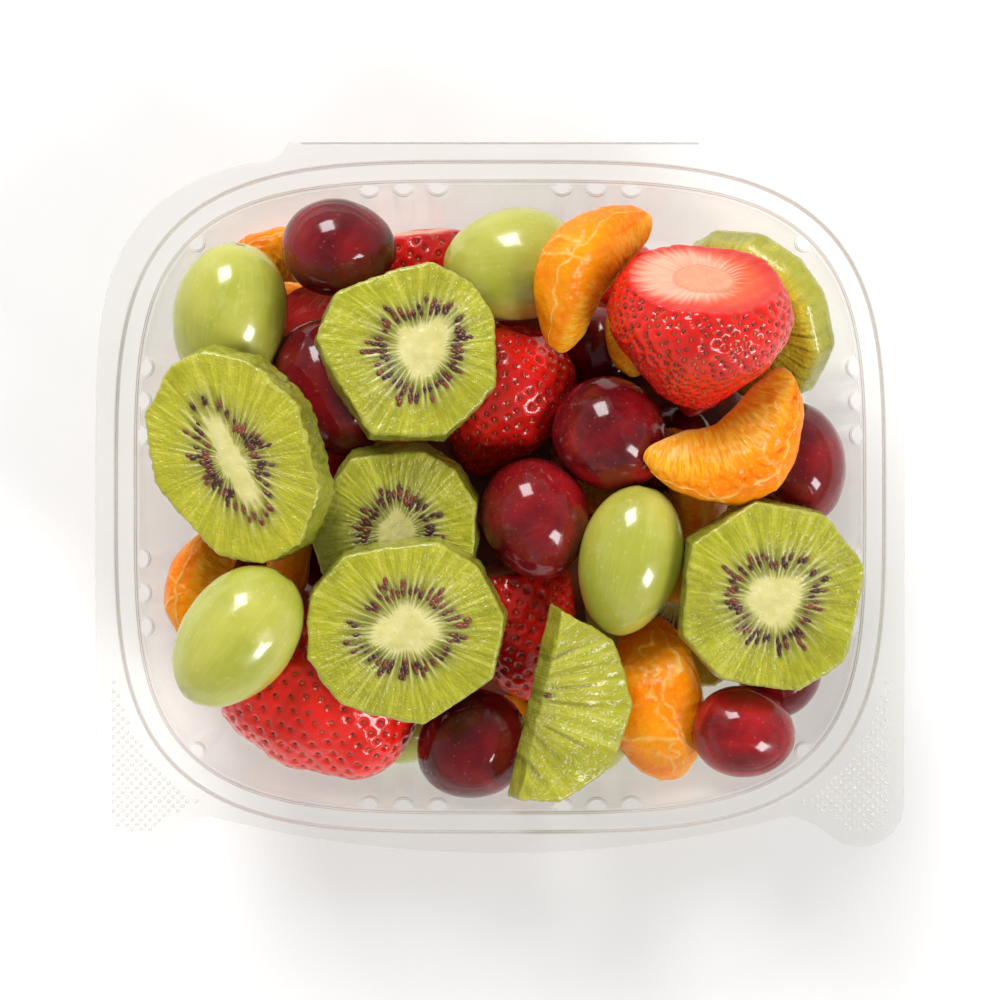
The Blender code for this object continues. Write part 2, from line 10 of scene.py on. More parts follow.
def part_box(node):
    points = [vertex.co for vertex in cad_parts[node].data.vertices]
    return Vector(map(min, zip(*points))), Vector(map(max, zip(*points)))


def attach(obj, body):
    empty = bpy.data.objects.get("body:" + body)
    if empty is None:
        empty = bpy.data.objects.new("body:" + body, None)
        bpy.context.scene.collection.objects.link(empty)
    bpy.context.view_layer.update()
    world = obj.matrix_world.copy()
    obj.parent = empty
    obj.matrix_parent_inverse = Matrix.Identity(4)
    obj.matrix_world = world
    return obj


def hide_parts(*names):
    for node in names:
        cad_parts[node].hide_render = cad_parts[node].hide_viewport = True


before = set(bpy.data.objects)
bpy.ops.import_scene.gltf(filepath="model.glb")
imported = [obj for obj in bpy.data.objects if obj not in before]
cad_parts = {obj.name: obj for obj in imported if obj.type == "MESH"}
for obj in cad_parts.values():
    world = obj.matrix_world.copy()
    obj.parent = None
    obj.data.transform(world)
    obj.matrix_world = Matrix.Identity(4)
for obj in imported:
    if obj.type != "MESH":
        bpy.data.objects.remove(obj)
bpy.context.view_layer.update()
mm = 0.001
print("frame loaded:", len(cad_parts), "nodes")


def sums(operation, swapped=False):
    # how a Shade meets a number or another Shade: a Math node with the two in this order, or swapped
    if swapped:
        return lambda self, other: self.calc(operation, other, self)
    return lambda self, other: self.calc(operation, self, other)


class Shade:
    # holds one socket; sums and products of Shades add Math nodes
    __add__, __radd__ = sums("ADD"), sums("ADD", True)
    __sub__, __rsub__ = sums("SUBTRACT"), sums("SUBTRACT", True)
    __mul__, __rmul__ = sums("MULTIPLY"), sums("MULTIPLY", True)
    __pow__ = sums("POWER")

    def __init__(self, finish, socket):
        self.finish = finish
        self.socket = socket

    def calc(self, operation, first, second):
        return self.finish.add("ShaderNodeMath", {"operation": operation}, {0: first, 1: second})

    def above(self, low, high):
        # smooth rise from 0 at low to 1 at high
        return self.finish.add("ShaderNodeMapRange", {"interpolation_type": "SMOOTHSTEP"},
                               {"Value": self, "From Min": low, "From Max": high})


class Finish:
    # a material with its nodes; values set on the shader are its own sockets' names
    def __init__(self, name, **values):
        self.material = bpy.data.materials.new(name)
        self.material.use_nodes = True
        self.nodes = self.material.node_tree.nodes
        self.links = self.material.node_tree.links
        self.shader = self.nodes["Principled BSDF"]
        for socket, value in values.items():
            self.shader.inputs[socket.replace("_", " ")].default_value = value

    def add(self, kind, settings, sockets, output=0):
        node = self.nodes.new(kind)
        for name, value in settings.items():
            setattr(node, name, value)
        self.feed(node, sockets)
        return Shade(self, node.outputs[output])

    def feed(self, node, sockets):
        for name, value in sockets.items():
            if isinstance(value, Shade):
                self.links.new(value.socket, node.inputs[name])
            else:
                node.inputs[name].default_value = value

    def set(self, **sockets):
        self.feed(self.shader, {name.replace("_", " "): value for name, value in sockets.items()})

    def place(self):
        return self.add("ShaderNodeTexCoord", {}, {}, "Object")

    def mark(self, name):
        return self.add("ShaderNodeAttribute", {"attribute_name": name}, {}, "Fac")

    def marks(self, name):
        # the three values of a vector mark, and the vector itself
        vector = self.add("ShaderNodeAttribute", {"attribute_name": name}, {}, "Vector")
        split = self.add("ShaderNodeSeparateXYZ", {}, {0: vector})
        return [Shade(self, out) for out in split.socket.node.outputs] + [vector]

    def scaled(self, vector, factors):
        return self.add("ShaderNodeVectorMath", {"operation": "MULTIPLY"}, {0: vector, 1: factors})

    def noise(self, vector, scale, detail=2.0, distortion=0.0):
        return self.add("ShaderNodeTexNoise", {}, {"Vector": vector, "Scale": scale, "Detail": detail,
                                                   "Distortion": distortion})

    def cells(self, vector, scale):
        return self.add("ShaderNodeTexVoronoi", {}, {"Vector": vector, "Scale": scale}, "Distance")

    def blend(self, share, first, second):
        # colour between two colours
        first = (*first, 1) if isinstance(first, tuple) else first
        second = (*second, 1) if isinstance(second, tuple) else second
        return self.add("ShaderNodeMix", {"data_type": "RGBA"}, {0: share, 6: first, 7: second}, 2)

    def coats(self, colour, *layers):
        # each layer is a share and the colour laid over what is there
        for share, over in layers:
            colour = self.blend(share, colour, over)
        return colour

    def bump(self, height, distance, strength=1.0):
        return self.add("ShaderNodeBump", {}, {"Height": height, "Distance": distance,
                                               "Strength": strength})


def smooth(low, high, value):
    share = np.clip((value - low) / (high - low), 0, 1)
    return share * share * (3 - 2 * share)


def circle(count):
    return np.linspace(0, 2 * math.pi, count + 1)[:-1]


def wrapped(angle):
    # the same angle between minus half a turn and half a turn
    return np.angle(np.exp(1j * angle))


def heading(angle):
    return np.stack([np.cos(angle), np.sin(angle)], -1)


def vectors(*parts):
    # points or marks from their values, each spread over the shape of all
    return np.stack(np.broadcast_arrays(*parts), -1)


def reachOf(offsets):
    return np.linalg.norm(offsets, axis=-1)


def unit(offsets, guard=0.0):
    # the guard keeps an offset of no length from a division by zero
    return offsets / (np.linalg.norm(offsets, axis=-1, keepdims=True) + guard)


def reachFrom(points, centre, angle):
    # distance from the centre to the outline at each angle
    around = points - centre
    bearings = np.arctan2(around[:, 1], around[:, 0])
    order = np.argsort(bearings)
    return np.interp(angle, bearings[order], reachOf(around)[order], period=2 * math.pi)


# surfaces: every piece is a grid of points, rings by columns, whose first and last rings are one point
def gather(grid):
    # first ring's middle, all other rings, last ring's middle
    flat = grid[1:-1].reshape(-1, *grid.shape[2:])
    return np.concatenate([grid[:1].mean(axis=1), flat, grid[-1:].mean(axis=1)])


def skinFaces(rings, columns):
    # triangles at both ends and quads between the rings, with the last column joined to the first
    column = np.arange(columns)
    following = (column + 1) % columns
    start = (1 + np.arange(rings - 3) * columns)[:, None]
    quads = np.stack([start + column, start + following, start + columns + following,
                      start + columns + column], axis=-1).reshape(-1, 4)
    last = 1 + (rings - 3) * columns
    end = 1 + (rings - 2) * columns
    first = np.stack([np.zeros(columns, int), 1 + following, 1 + column], axis=-1)
    final = np.stack([np.full(columns, end), last + column, last + following], axis=-1)
    return first, quads, final


def volume(points, faces):
    corners = points[faces]
    total = 0.0
    for step in range(1, faces.shape[1] - 1):
        cross = np.cross(corners[:, step], corners[:, step + 1])
        total += (corners[:, 0] * cross).sum()
    return total


class Body:
    # one mesh gathered from several skins, with its marks per point
    def __init__(self):
        self.points = []
        self.faces = []
        self.marks = {}
        self.count = 0

    def skin(self, grid, **marks):
        points = gather(grid)
        groups = skinFaces(*grid.shape[:2])
        inside = sum(volume(points, faces) for faces in groups) < 0
        for faces in groups:
            faces = faces[:, ::-1] if inside else faces
            self.faces.append(faces + self.count)
        self.take(points, {name: gather(values) for name, values in marks.items()})

    def copies(self, grid, turns, places):
        # the same small skin many times: turned by matrices and moved to places
        points = gather(grid)
        groups = skinFaces(*grid.shape[:2])
        inside = sum(volume(points @ turns[0].T, faces) for faces in groups) < 0
        shift = self.count + np.arange(len(places)) * len(points)
        for faces in groups:
            faces = faces[:, ::-1] if inside else faces
            self.faces.append((shift[:, None, None] + faces).reshape(-1, faces.shape[1]))
        self.take((np.einsum("nij,kj->nki", turns, points) + places[:, None]).reshape(-1, 3), {})

    def take(self, points, marks):
        self.points.append(points)
        for name, values in marks.items():
            self.marks.setdefault(name, []).append((self.count, values))
        self.count += len(points)

    def place(self, name, finish, node, slot):
        # make the object, give it its marks and material, and let it stand for the CAD node
        mesh = bpy.data.meshes.new(name)
        points = np.concatenate(self.points)
        mesh.vertices.add(len(points))
        mesh.vertices.foreach_set("co", points.astype(np.float32).ravel())
        sizes = np.concatenate([np.full(len(faces), faces.shape[1]) for faces in self.faces])
        loops = np.concatenate([faces.ravel() for faces in self.faces])
        mesh.loops.add(len(loops))
        mesh.loops.foreach_set("vertex_index", loops.astype(np.int32))
        mesh.polygons.add(len(sizes))
        mesh.polygons.foreach_set("loop_start", np.concatenate([[0], np.cumsum(sizes)[:-1]]).astype(np.int32))
        mesh.polygons.foreach_set("use_smooth", np.ones(len(sizes), bool))
        mesh.update(calc_edges=True)
        for mark, parts in self.marks.items():
            wide = parts[0][1].ndim == 2
            values = np.zeros((len(points), 3) if wide else len(points), np.float32)
            for start, part in parts:
                values[start:start + len(part)] = part
            layer = mesh.attributes.new(mark, "FLOAT_VECTOR" if wide else "FLOAT", "POINT")
            layer.data.foreach_set("vector" if wide else "value", values.ravel())
        mesh.materials.append(finish.material)
        piece = bpy.data.objects.new(name, mesh)
        bpy.context.scene.collection.objects.link(piece)
        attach(piece, "root")
        if node:
            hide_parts(node)
        return piece


def turnMatrix(turns):
    # turn about X, then Y, then Z, in degrees
    return np.array(Euler([math.radians(angle) for angle in turns]).to_matrix())


def turned(grid, turns):
    return grid @ turnMatrix(turns).T


def seatAt(grid, node):
    # vector that brings the middle of the grid's box to the middle of the node's box
    low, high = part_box(node)
    flat = grid.reshape(-1, 3)
    return (np.array(low) + np.array(high)) / 2 - (flat.min(axis=0) + flat.max(axis=0)) / 2


def placeFruit(name, grid, finish, slot, ending="_flesh", **marks):
    # one piece of fruit, moved to where its node lies; says how far it moved
    move = seatAt(grid, name)
    body = Body()
    body.skin(grid + move, **marks)
    body.place(name + ending, finish, name, slot)
    return move


def placeSeeds(name, seeds, drop, finish, slot):
    # the seeds of one kind of fruit in one body, from each piece's turns and places
    body = Body()
    body.copies(drop, *(np.concatenate(part) for part in zip(*seeds)))
    body.place(name, finish, None, slot)


def ripple(points, size, seed, count=7):
    # smooth unevenness between about -1 and 1: a sum of waves in random directions, size across
    source = np.random.default_rng(seed)
    directions = source.normal(size=(count, 3))
    directions /= np.linalg.norm(directions, axis=1)[:, None]
    lengths = size * source.uniform(0.7, 1.6, count)
    phases = source.uniform(0, 2 * math.pi, count)
    waves = np.sin(points @ (directions * (2 * math.pi / lengths)[:, None]).T + phases)
    return waves.sum(axis=-1) / math.sqrt(count)


def lumps(points, seed, waves):
    # ripples on top of each other, each with its height and size in mm and the next seed
    return sum(height * mm * ripple(points, size * mm, seed + number)
               for number, (height, size) in enumerate(waves))


def streaks(bearing, seed, lowest, highest, count=9):
    # unevenness round a middle: a sum of sines that go round a whole number of times
    source = np.random.default_rng(seed)
    times = source.integers(lowest, highest, count)
    phases = source.uniform(0, 2 * math.pi, count)
    return np.sin(bearing[..., None] * times + phases).sum(axis=-1) / math.sqrt(count)


# the tub
tub = {
    "rimLength": 176.6 * mm, "rimWidth": 154.2 * mm, "squareness": 3.6, "height": 50 * mm,
    "sheet": 0.5 * mm, "ledgeDrop": 3.5 * mm, "ledgeWidth": 3.8 * mm, "ledgeDraft": 0.4 * mm,
    "ribTop": 42 * mm, "ribFoot": 6 * mm, "ribDepth": 2.3 * mm, "ribHalf": 2.3 * mm,
    "ribGroup": (14.4 * mm, 22.4 * mm, 30.5 * mm), "cornerRib": 49.7,
    "wallTop": 5 * mm, "wallFoot": 14 * mm, "floorInset": 17.5 * mm,
    "flangeLength": 184.2 * mm, "flangeBack": 78.6 * mm, "flangeSquareness": 4.2,
    "hingeReach": 80.7 * mm, "hingeHalf": 48.3 * mm, "hingeFillet": 4.5 * mm,
    "tabRadius": 9.6 * mm, "tabY": -70.2 * mm, "tabTurn": 133, "filletEnd": (66 * mm, -72.6 * mm),
    "frontReach": 81.1 * mm, "columns": 840,
}


def superellipse(bearing, halfX, halfY, squareness):
    # bearing 0 at the back and 90 at +X; the parts of the half sizes, raised to the squareness, sum to 1
    x = np.sin(np.radians(bearing))
    y = np.cos(np.radians(bearing))
    radius = (np.abs(x / halfX) ** squareness + np.abs(y / halfY) ** squareness) ** (-1 / squareness)
    return np.stack([x * radius, y * radius], axis=-1)


def rimPoint(bearing):
    return superellipse(bearing, tub["rimLength"] / 2, tub["rimWidth"] / 2, tub["squareness"])


def rimNormal(bearing):
    # gradient of the superellipse
    point = rimPoint(bearing)
    size = np.array([tub["rimLength"], tub["rimWidth"]])
    return unit(np.sign(point) * np.abs(2 * point / size) ** (tub["squareness"] - 1) / size)


def arc(centre, radius, start, end, share):
    return np.array(centre) + radius * heading(np.radians(start + (end - start) * share))


def bend(start, corner, end, share):
    # curve that leaves start towards the corner and reaches the end from it
    start, corner, end, share = np.array(start), np.array(corner), np.array(end), share[:, None]
    first = start + (corner - start) * share
    return first + (corner + (end - corner) * share - first) * share


def flangeEdge(bearing):
    # hinge strip, fillet, side, straight, tab, fillet and front arc: first and last bearing of each,
    # and its curve; the left side mirrors the right
    half = tub["flangeLength"] / 2
    centre = (half - tub["tabRadius"], tub["tabY"])
    reach, level = tub["filletEnd"]
    sag = tub["frontReach"] + level
    radius = (reach ** 2 + sag ** 2) / (2 * sag)
    sweep = math.degrees(math.asin(reach / radius))
    side = lambda angle: superellipse(angle, half, tub["flangeBack"], tub["flangeSquareness"])
    tab = lambda share: arc(centre, tub["tabRadius"], 0, -tub["tabTurn"], share)
    strip = (tub["hingeHalf"], tub["hingeReach"])
    stretches = (
        (0, 33, lambda t: vectors(strip[0] * t, strip[1])),
        (33, 37.5, lambda t: bend(strip, (strip[0] + 1 * mm, strip[1] - tub["hingeFillet"]),
                                  side(np.array(37.5)), t)),
        (37.5, 90, lambda t: side(37.5 + 52.5 * t)),
        (90, 125, lambda t: vectors(half, centre[1] * t)),
        (125, 135, tab),
        (135, 138.5, lambda t: bend(tab(np.array(1.0)), (reach + 5.5 * mm, level - 0.6 * mm),
                                    (reach, level), t)),
        (138.5, 180.01, lambda t: arc((0, radius - tub["frontReach"]), radius, -90 + sweep, -90, t)),
    )
    folded = np.where(bearing > 180, 360 - bearing, bearing)
    points = np.zeros((len(bearing), 2))
    for start, end, shape in stretches:
        chosen = (folded >= start) & (folded < end)
        points[chosen] = shape((folded[chosen] - start) / (min(end, 180) - start))
    points[:, 0] *= np.where(bearing > 180, -1, 1)
    return points


def ribShare(bearing):
    # 1 on the crest of a rib, falling to 0 at its sides
    fine = np.linspace(0, 180, 18001)
    line = rimPoint(fine)
    quarter = [fine[np.argmax(line[:, 0] >= x)] for x in tub["ribGroup"]] + [tub["cornerRib"]]
    quarter += [fine[np.argmax(line[:, 1] <= y)] for y in tub["ribGroup"]]
    middles = quarter + [180 - middle for middle in quarter]
    middles += [-middle for middle in middles]
    distance = reachOf(rimPoint(bearing) - rimPoint(np.array(middles))[:, None]).min(axis=0)
    return (1 - np.clip(distance / tub["ribHalf"], 0, 1) ** 2) ** 0.6


def tubSection():
    # the shell's outer face from the floor up: inset from the rim, height, share of rib depth,
    # and how strongly a dark line of painted shade is drawn there, all round and on the ribs
    floor, ribFoot = tub["floorInset"], tub["ribFoot"]
    rows = [(floor + 2 * mm, 0, 0, 0, 0), (floor, 0, 0, 0, 0)]
    foot = tub["wallFoot"] - 0.4 * mm
    corner = math.radians(76)
    for share in np.linspace(0, 1, 6)[1:]:
        angle = share * corner
        rows.append((floor - (floor - foot) * math.sin(angle) / math.sin(corner),
                     ribFoot * (1 - math.cos(angle)) / (1 - math.cos(corner)), 0, 0, 0))
    top = tub["wallTop"] + 0.1 * mm
    ribTop = tub["ribTop"] - 0.9 * mm
    for share in np.linspace(0, 1, 9)[1:]:
        rows.append((foot + (top - foot) * share, ribFoot + (ribTop - ribFoot) * share, share, 0, 0))
    for share in np.linspace(0, 1, 8)[1:]:
        rows.append((top - 0.1 * mm * share, tub["ribTop"] - 0.9 * mm * (1 - share) ** 3,
                     math.cos(share * math.pi / 2) ** 1.2, 0, 1 if share < 0.2 else 0))
    # the step in, the ledge and the line up to the rim: inset and height, each with a shift in mm, and how
    # strong the painted shade line is
    inner, outer = tub["ledgeWidth"] + tub["ledgeDraft"], tub["ledgeDraft"]
    rim = tub["height"] - tub["sheet"]
    ledge = rim - tub["ledgeDrop"]
    steps = ((inner, 0.2, ledge, -1.6, 0), (inner, 0.06, ledge, -0.5, 0.9), (inner, 0, ledge, -0.1, 0.1),
             (inner, -0.3, ledge, 0, 0), (outer, 0.3, ledge, 0, 0), (outer, 0, ledge, 0.15, 0),
             (0, 0.12, ledge, 0.8, 0.75), (0, 0.03, rim, -0.4, 0.4), (0, -0.2, rim, 0, 0))
    rows += [(inset + inward * mm, height + upward * mm, 0, paintedEdgeShade, 0)
             for inset, inward, height, upward, paintedEdgeShade in steps]
    return rows


def buildTub(finish):
    bearing = np.arange(tub["columns"]) * 360 / tub["columns"]
    rim, outward, ribs, edge = rimPoint(bearing), rimNormal(bearing), ribShare(bearing), flangeEdge(bearing)
    # painted shade: a dark line drawn along the outer edge of the hinge strip
    hinge = (np.minimum(bearing, 360 - bearing) < 31) * 0.8
    section = tubSection()
    start = rim - outward * section[0][0]
    rows = [(start * share, 0.0, 0 * ribs) for share in (0, 0.3, 0.6, 0.85)]
    # each ring keeps how strongly the painted shade line darkens it
    for inset, height, depth, paintedEdgeShade, ribEdgeShade in section:
        rows.append((rim - outward * (inset + depth * tub["ribDepth"] * ribs)[:, None], height,
                     paintedEdgeShade + ribEdgeShade * smooth(0.1, 0.5, ribs)))
    last = rows[-1][0]
    level = tub["height"] - tub["sheet"]
    for share in (0.12, 0.3, 0.5, 0.7, 0.86, 0.95, 1.0):
        outermost = share == 1.0
        rows.append((last + (edge - last) * share, level - 0.25 * mm * outermost, hinge * outermost))
    grid = np.stack([vectors(*flat.T, height) for flat, height, _ in rows])
    paintedEdgeShades = np.stack([paintedEdgeShade for _, _, paintedEdgeShade in rows])
    body = Body()
    first, quads, _ = skinFaces(len(grid) + 1, len(bearing))
    body.faces += [first[:, ::-1], quads[:, ::-1]]
    body.take(np.concatenate([grid[:1].mean(axis=1), grid[1:].reshape(-1, 3)]),
              {"paintedEdgeShade": np.concatenate([[0], paintedEdgeShades[1:].ravel()])})
    wall = body.place("clear_tub", finish, "tub", "clear_plastic").modifiers.new("Sheet", "SOLIDIFY")
    wall.thickness = tub["sheet"]
    wall.offset = -1


# profile: reach and rise of each ring, as shares of a stud's radius and rise
studs = {"pitch": 2.1 * mm, "radius": 0.5 * mm, "rise": 0.24 * mm, "low": -78 * mm, "high": -31 * mm,
         "middle": 82 * mm, "outer": 92 * mm, "edge": 2.9 * mm, "line": 2.6 * mm,
         "profile": ((0, 1), (0.4, 0.85), (0.75, 0.45), (1, 0), (0, -0.1))}


def buildStuds(finish):
    # grip pattern on both thumb tabs: small round-topped studs in a diamond lattice on the flange
    column, row = np.meshgrid(np.arange(-30, 31), np.arange(60))
    x = (studs["middle"] + (column + 0.5 * (row % 2)) * studs["pitch"]).ravel()
    y = (studs["low"] + row * studs["pitch"] * 0.5).ravel()
    reach, angle = np.hypot(x, y), np.arctan2(y, x)
    fine = np.linspace(90, 180, 4000)
    edge, rim = flangeEdge(fine), rimPoint(fine)
    toEdge, toRim = (reachOf(vectors(x, y)[:, None] - line).min(axis=1) for line in (edge, rim))
    kept = (toEdge > studs["edge"]) & (toRim > studs["line"]) & (y > studs["low"]) & (y < studs["high"])
    kept &= (x < studs["outer"]) & (reach < reachFrom(edge, 0, angle)) & (reach > reachFrom(rim, 0, angle))
    x, y = np.concatenate([x[kept], -x[kept]]), np.concatenate([y[kept], y[kept]])
    share, rise = np.array(studs["profile"]).T[..., None]
    turn = circle(8)
    grid = vectors(share * studs["radius"] * np.cos(turn), share * studs["radius"] * np.sin(turn),
                   rise * studs["rise"])
    body = Body()
    body.copies(grid, np.tile(np.eye(3), (len(x), 1, 1)), vectors(x, y, tub["height"]))
    body.place("tab_studs", finish, "tub", "clear_plastic")


def plasticFinish(name, haze, dark):
    # clear sheet: see-through face on, cloudier at a low angle, and with painted shade: darker, cloudier
    # lines along its steps, rim, rib tops and hinge edge
    look = Finish(name, Roughness=0.08, IOR=1.5)
    sheer = look.add("ShaderNodeBsdfTransparent", {}, {"Color": (0.953, 0.951, 0.942, 1)})
    steep = look.add("ShaderNodeLayerWeight", {}, {"Blend": 0.5}, "Facing")
    swirl = look.noise(look.place(), 60, 3.0)
    # painted shade: where this mark is set, the sheet is drawn darker and cloudier as a dark edge line
    paintedEdgeShade = look.mark("paintedEdgeShade")
    share = haze + swirl * 0.03 + 0.32 * steep ** 3.0 + 0.6 * paintedEdgeShade
    look.set(Base_Color=look.blend(paintedEdgeShade, (0.92, 0.90, 0.86), dark),
             Normal=look.bump(look.noise(look.place(), 150, 2.0), 0.05 * mm, 0.25))
    mixed = look.add("ShaderNodeMixShader", {}, {0: share, 1: sheer, 2: Shade(look, look.shader.outputs[0])})
    output = next(node for node in look.nodes if node.type == "OUTPUT_MATERIAL")
    look.feed(output, {"Surface": mixed})
    return look


# kiwi: corners are bearings of the knife facets' corners as seen from above, anticlockwise from +X;
# core is the bearing and reach in mm of the pale core's outline about its middle, and shift that middle;
# along is the bearing of the stretch, halved the side that is cut off, wave how uneven the side is,
# ripe how yellow the flesh is, stain how darkly rayed it is, and shade how much painted shade darkens the
# whole slice
kiwiSlices = {
    "kiwi_slice_1": {"corners": (125, 100, 70, 35, 349, 313, 282, 252, 202, 164), "radius": 19,
                     "thick": 12.5, "stretch": 1.34, "along": 117, "turns": (0, 13, 205), "ripe": 0.15,
                     "core": ((30, 3.0), (75, 4.0), (118, 12.5), (150, 4.2), (210, 3.0), (262, 4.2),
                              (299, 12.5), (335, 4.4)), "shift": (0, -0.6), "wave": 0.45},
    "kiwi_slice_2": {"corners": (22, 46, 75, 142, 174, 246, 293, 337), "radius": 21, "thick": 12,
                     "turns": (0, 5, 30), "shift": (2.8, 0.4), "wave": 0.3,
                     "core": ((0, 6.0), (47, 8.9), (83, 6.6), (100, 5.6), (142, 7.0), (180, 6.2),
                              (217, 5.8), (268, 7.8), (311, 6.0))},
    "kiwi_slice_3": {"corners": (19, 45, 71, 121, 178, 210, 250, 295, 336), "radius": 19.6, "thick": 11.5,
                     "turns": (0, 9, 265), "shift": (0.4, -0.4), "wave": 0.25,
                     "core": ((20, 5.0), (60, 5.0), (90, 6.2), (130, 4.6), (160, 4.8), (210, 5.4),
                              (270, 4.6), (330, 5.2))},
    "kiwi_slice_4": {"corners": (9, 44, 70, 127, 158, 196, 231, 281, 330), "radius": 21.6, "thick": 12,
                     "stretch": 1.06, "along": 0, "turns": (0, 4, 265), "shift": (0.3, 0.4), "wave": 0.25,
                     "core": ((0, 8.8), (35, 6.6), (88, 6.8), (140, 6.0), (190, 8.8), (230, 6.6),
                              (270, 5.4), (320, 6.8))},
    "kiwi_slice_5": {"corners": (18, 58, 100, 146, 204, 237, 286, 318), "radius": 22.1, "thick": 12,
                     "turns": (0, 4, 300), "shift": (0.3, -0.5), "wave": 0.22,
                     "core": ((0, 6.4), (32, 8.6), (85, 5.8), (140, 6.6), (175, 7.2), (215, 5.4),
                              (240, 6.2), (275, 7.2), (310, 6.8), (335, 5.8))},
    "kiwi_slice_6": {"corners": (22, 47, 77, 112, 132, 180, 220, 265, 308, 347), "radius": 21.5, "thick": 9,
                     "turns": (0, 50, 217), "shift": (0, 0), "wave": 0.1, "edge": 3.2 * mm, "ripe": 1.2,
                     "stain": (0.35, 0.9),
                     "core": ((0, 3.0), (90, 3.4), (180, 3.0), (270, 3.4))},
    # this slice lies low in shadow: its shade value is painted shade over all of it
    "kiwi_slice_7": {"corners": (10, 58, 100, 150, 200, 245, 290, 330), "radius": 24, "thick": 11,
                     "turns": (0, 3, 200), "shift": (0, 0), "wave": 0.3, "ripe": 1.0, "shade": 0.45,
                     "core": ((0, 5.6), (90, 5.0), (180, 5.6), (270, 5.0))},
    "kiwi_slice_8": {"corners": (0, 42, 83, 122, 164, 200, 250, 280, 320), "radius": 20.6, "thick": 11,
                     "stretch": 1.08, "along": 77,
                     "halved": 167, "turns": (0, 16, 347), "shift": (-14.5, 3.4), "wave": 0.3,
                     "seedBand": (0.25, 0.02), "rayStrength": 0.3, "stain": (0.42, 0.62), "ripe": 0.05,
                     "core": ((0, 4.0), (90, 7.0), (180, 3.0), (270, 7.0))},
}
kiwiShape = {"taper": 0.5 * mm, "edge": 0.9 * mm, "halfOffset": 1.5 * mm, "bulge": 0.18, "rays": 40,
             "columns": 360, "rings": 60, "drop": (1.95 * mm, 1.05 * mm, 0.85 * mm),
             "lumps": ((0.16, 9), (0.06, 2.6)), "coreRise": 0.22 * mm, "rayRise": 0.14 * mm,
             "pit": 0.16 * mm, "halo": (2.6 * mm, 0.95 * mm), "seedMargin": 0.6 * mm, "sink": 0.12 * mm,
             "halfMiddle": 0.42}


def stretchOf(angle, knots):
    # which two of the closed row of bearings the angle lies between, how far past the first it is,
    # and how far apart they are
    edges = np.append(knots, knots[0] + 2 * math.pi)
    angle = (angle - knots[0]) % (2 * math.pi) + knots[0]
    place = np.clip(np.searchsorted(edges, angle, side="right") - 1, 0, len(knots) - 1)
    return place, angle - edges[place], edges[place + 1] - edges[place]


def facetReach(angle, corners, radius):
    # reach of the faceted outline: straight between corners, a little rounder than a true polygon
    _, offset, width = stretchOf(angle, np.radians(np.sort(corners)))
    straight = radius * np.cos(width / 2) / np.cos(offset - width / 2)
    return straight * (1 - kiwiShape["bulge"]) + radius * kiwiShape["bulge"]


def roundReach(angle, knots):
    # smooth closed curve through bearings and reaches
    bearings, reaches = np.array(knots).T
    reaches = reaches * mm
    place, offset, width = stretchOf(angle, np.radians(bearings))
    return reaches[place] + (np.roll(reaches, -1)[place] - reaches[place]) * smooth(0, 1, offset / width)


def sliceOutline(kiwi, radius):
    # dense outline of the slice as seen from above, with its corners rounded and its stretch
    angle = circle(1440)
    reach = facetReach(angle, kiwi["corners"], radius)
    kernel = np.exp(-(np.arange(-12, 13) / 5.0) ** 2)
    reach = np.convolve(np.concatenate([reach[-12:], reach, reach[:12]]), kernel / kernel.sum(), "valid")
    points = reach[:, None] * heading(angle)
    axis = heading(math.radians(kiwi.get("along", 0)))
    return points + (points @ axis)[:, None] * axis * (kiwi.get("stretch", 1.0) - 1)


def kiwiPattern(kiwi, seed):
    # what the flesh shows about the core: pale rays, and seeds between them
    source = np.random.default_rng(seed)
    count = kiwiShape["rays"]
    rays = (np.arange(count) + source.uniform(-0.28, 0.28, count)) * 2 * math.pi / count
    strength = source.uniform(0.45, 1.0, count)
    middles = (rays + np.roll(rays, -1) + np.where(np.arange(count) == count - 1, 2 * math.pi, 0)) / 2
    bearings, depths = [], []
    first, step = kiwi.get("seedBand", (0.12, 0.085))
    for middle in middles:
        for layer in range(source.choice([1, 2, 3, 4], p=(0.25, 0.4, 0.25, 0.1))):
            if source.random() < 0.15:
                continue
            bearings.append(middle + source.normal(0, 0.035))
            depths.append(first + step * layer + source.uniform(0, 0.06))
    return rays, strength, np.array(bearings), np.array(depths)


def kiwiRings(reachTop, reachBottom, thick, edge):
    # profile as reach, level and share of the side: top face, rounded edge, side, rounded edge, lower face
    flatShares = np.linspace(0, 1, kiwiShape["rings"]) ** 0.9
    rings = [((reachTop - edge) * share, thick / 2, 0) for share in flatShares]
    for share in np.linspace(0, 1, 7)[1:]:
        turn = share * math.pi / 2
        rings.append((reachTop - edge + edge * math.sin(turn),
                      thick / 2 - edge * (1 - math.cos(turn)), share))
    for share in np.linspace(0, 1, 9)[1:]:
        rings.append((reachTop + (reachBottom - reachTop) * share, (thick / 2 - edge) * (1 - 2 * share), 1))
    for share in np.linspace(0, 1, 5)[1:]:
        turn = share * math.pi / 2
        rings.append((reachBottom - edge * (1 - math.cos(turn)),
                      -thick / 2 + edge * (1 - math.sin(turn)), 1))
    rings += [((reachBottom - edge) * share, -thick / 2, 1) for share in (0.9, 0.7, 0.4, 0)]
    return np.moveaxis(np.stack([vectors(*ring) for ring in rings]), -1, 0)


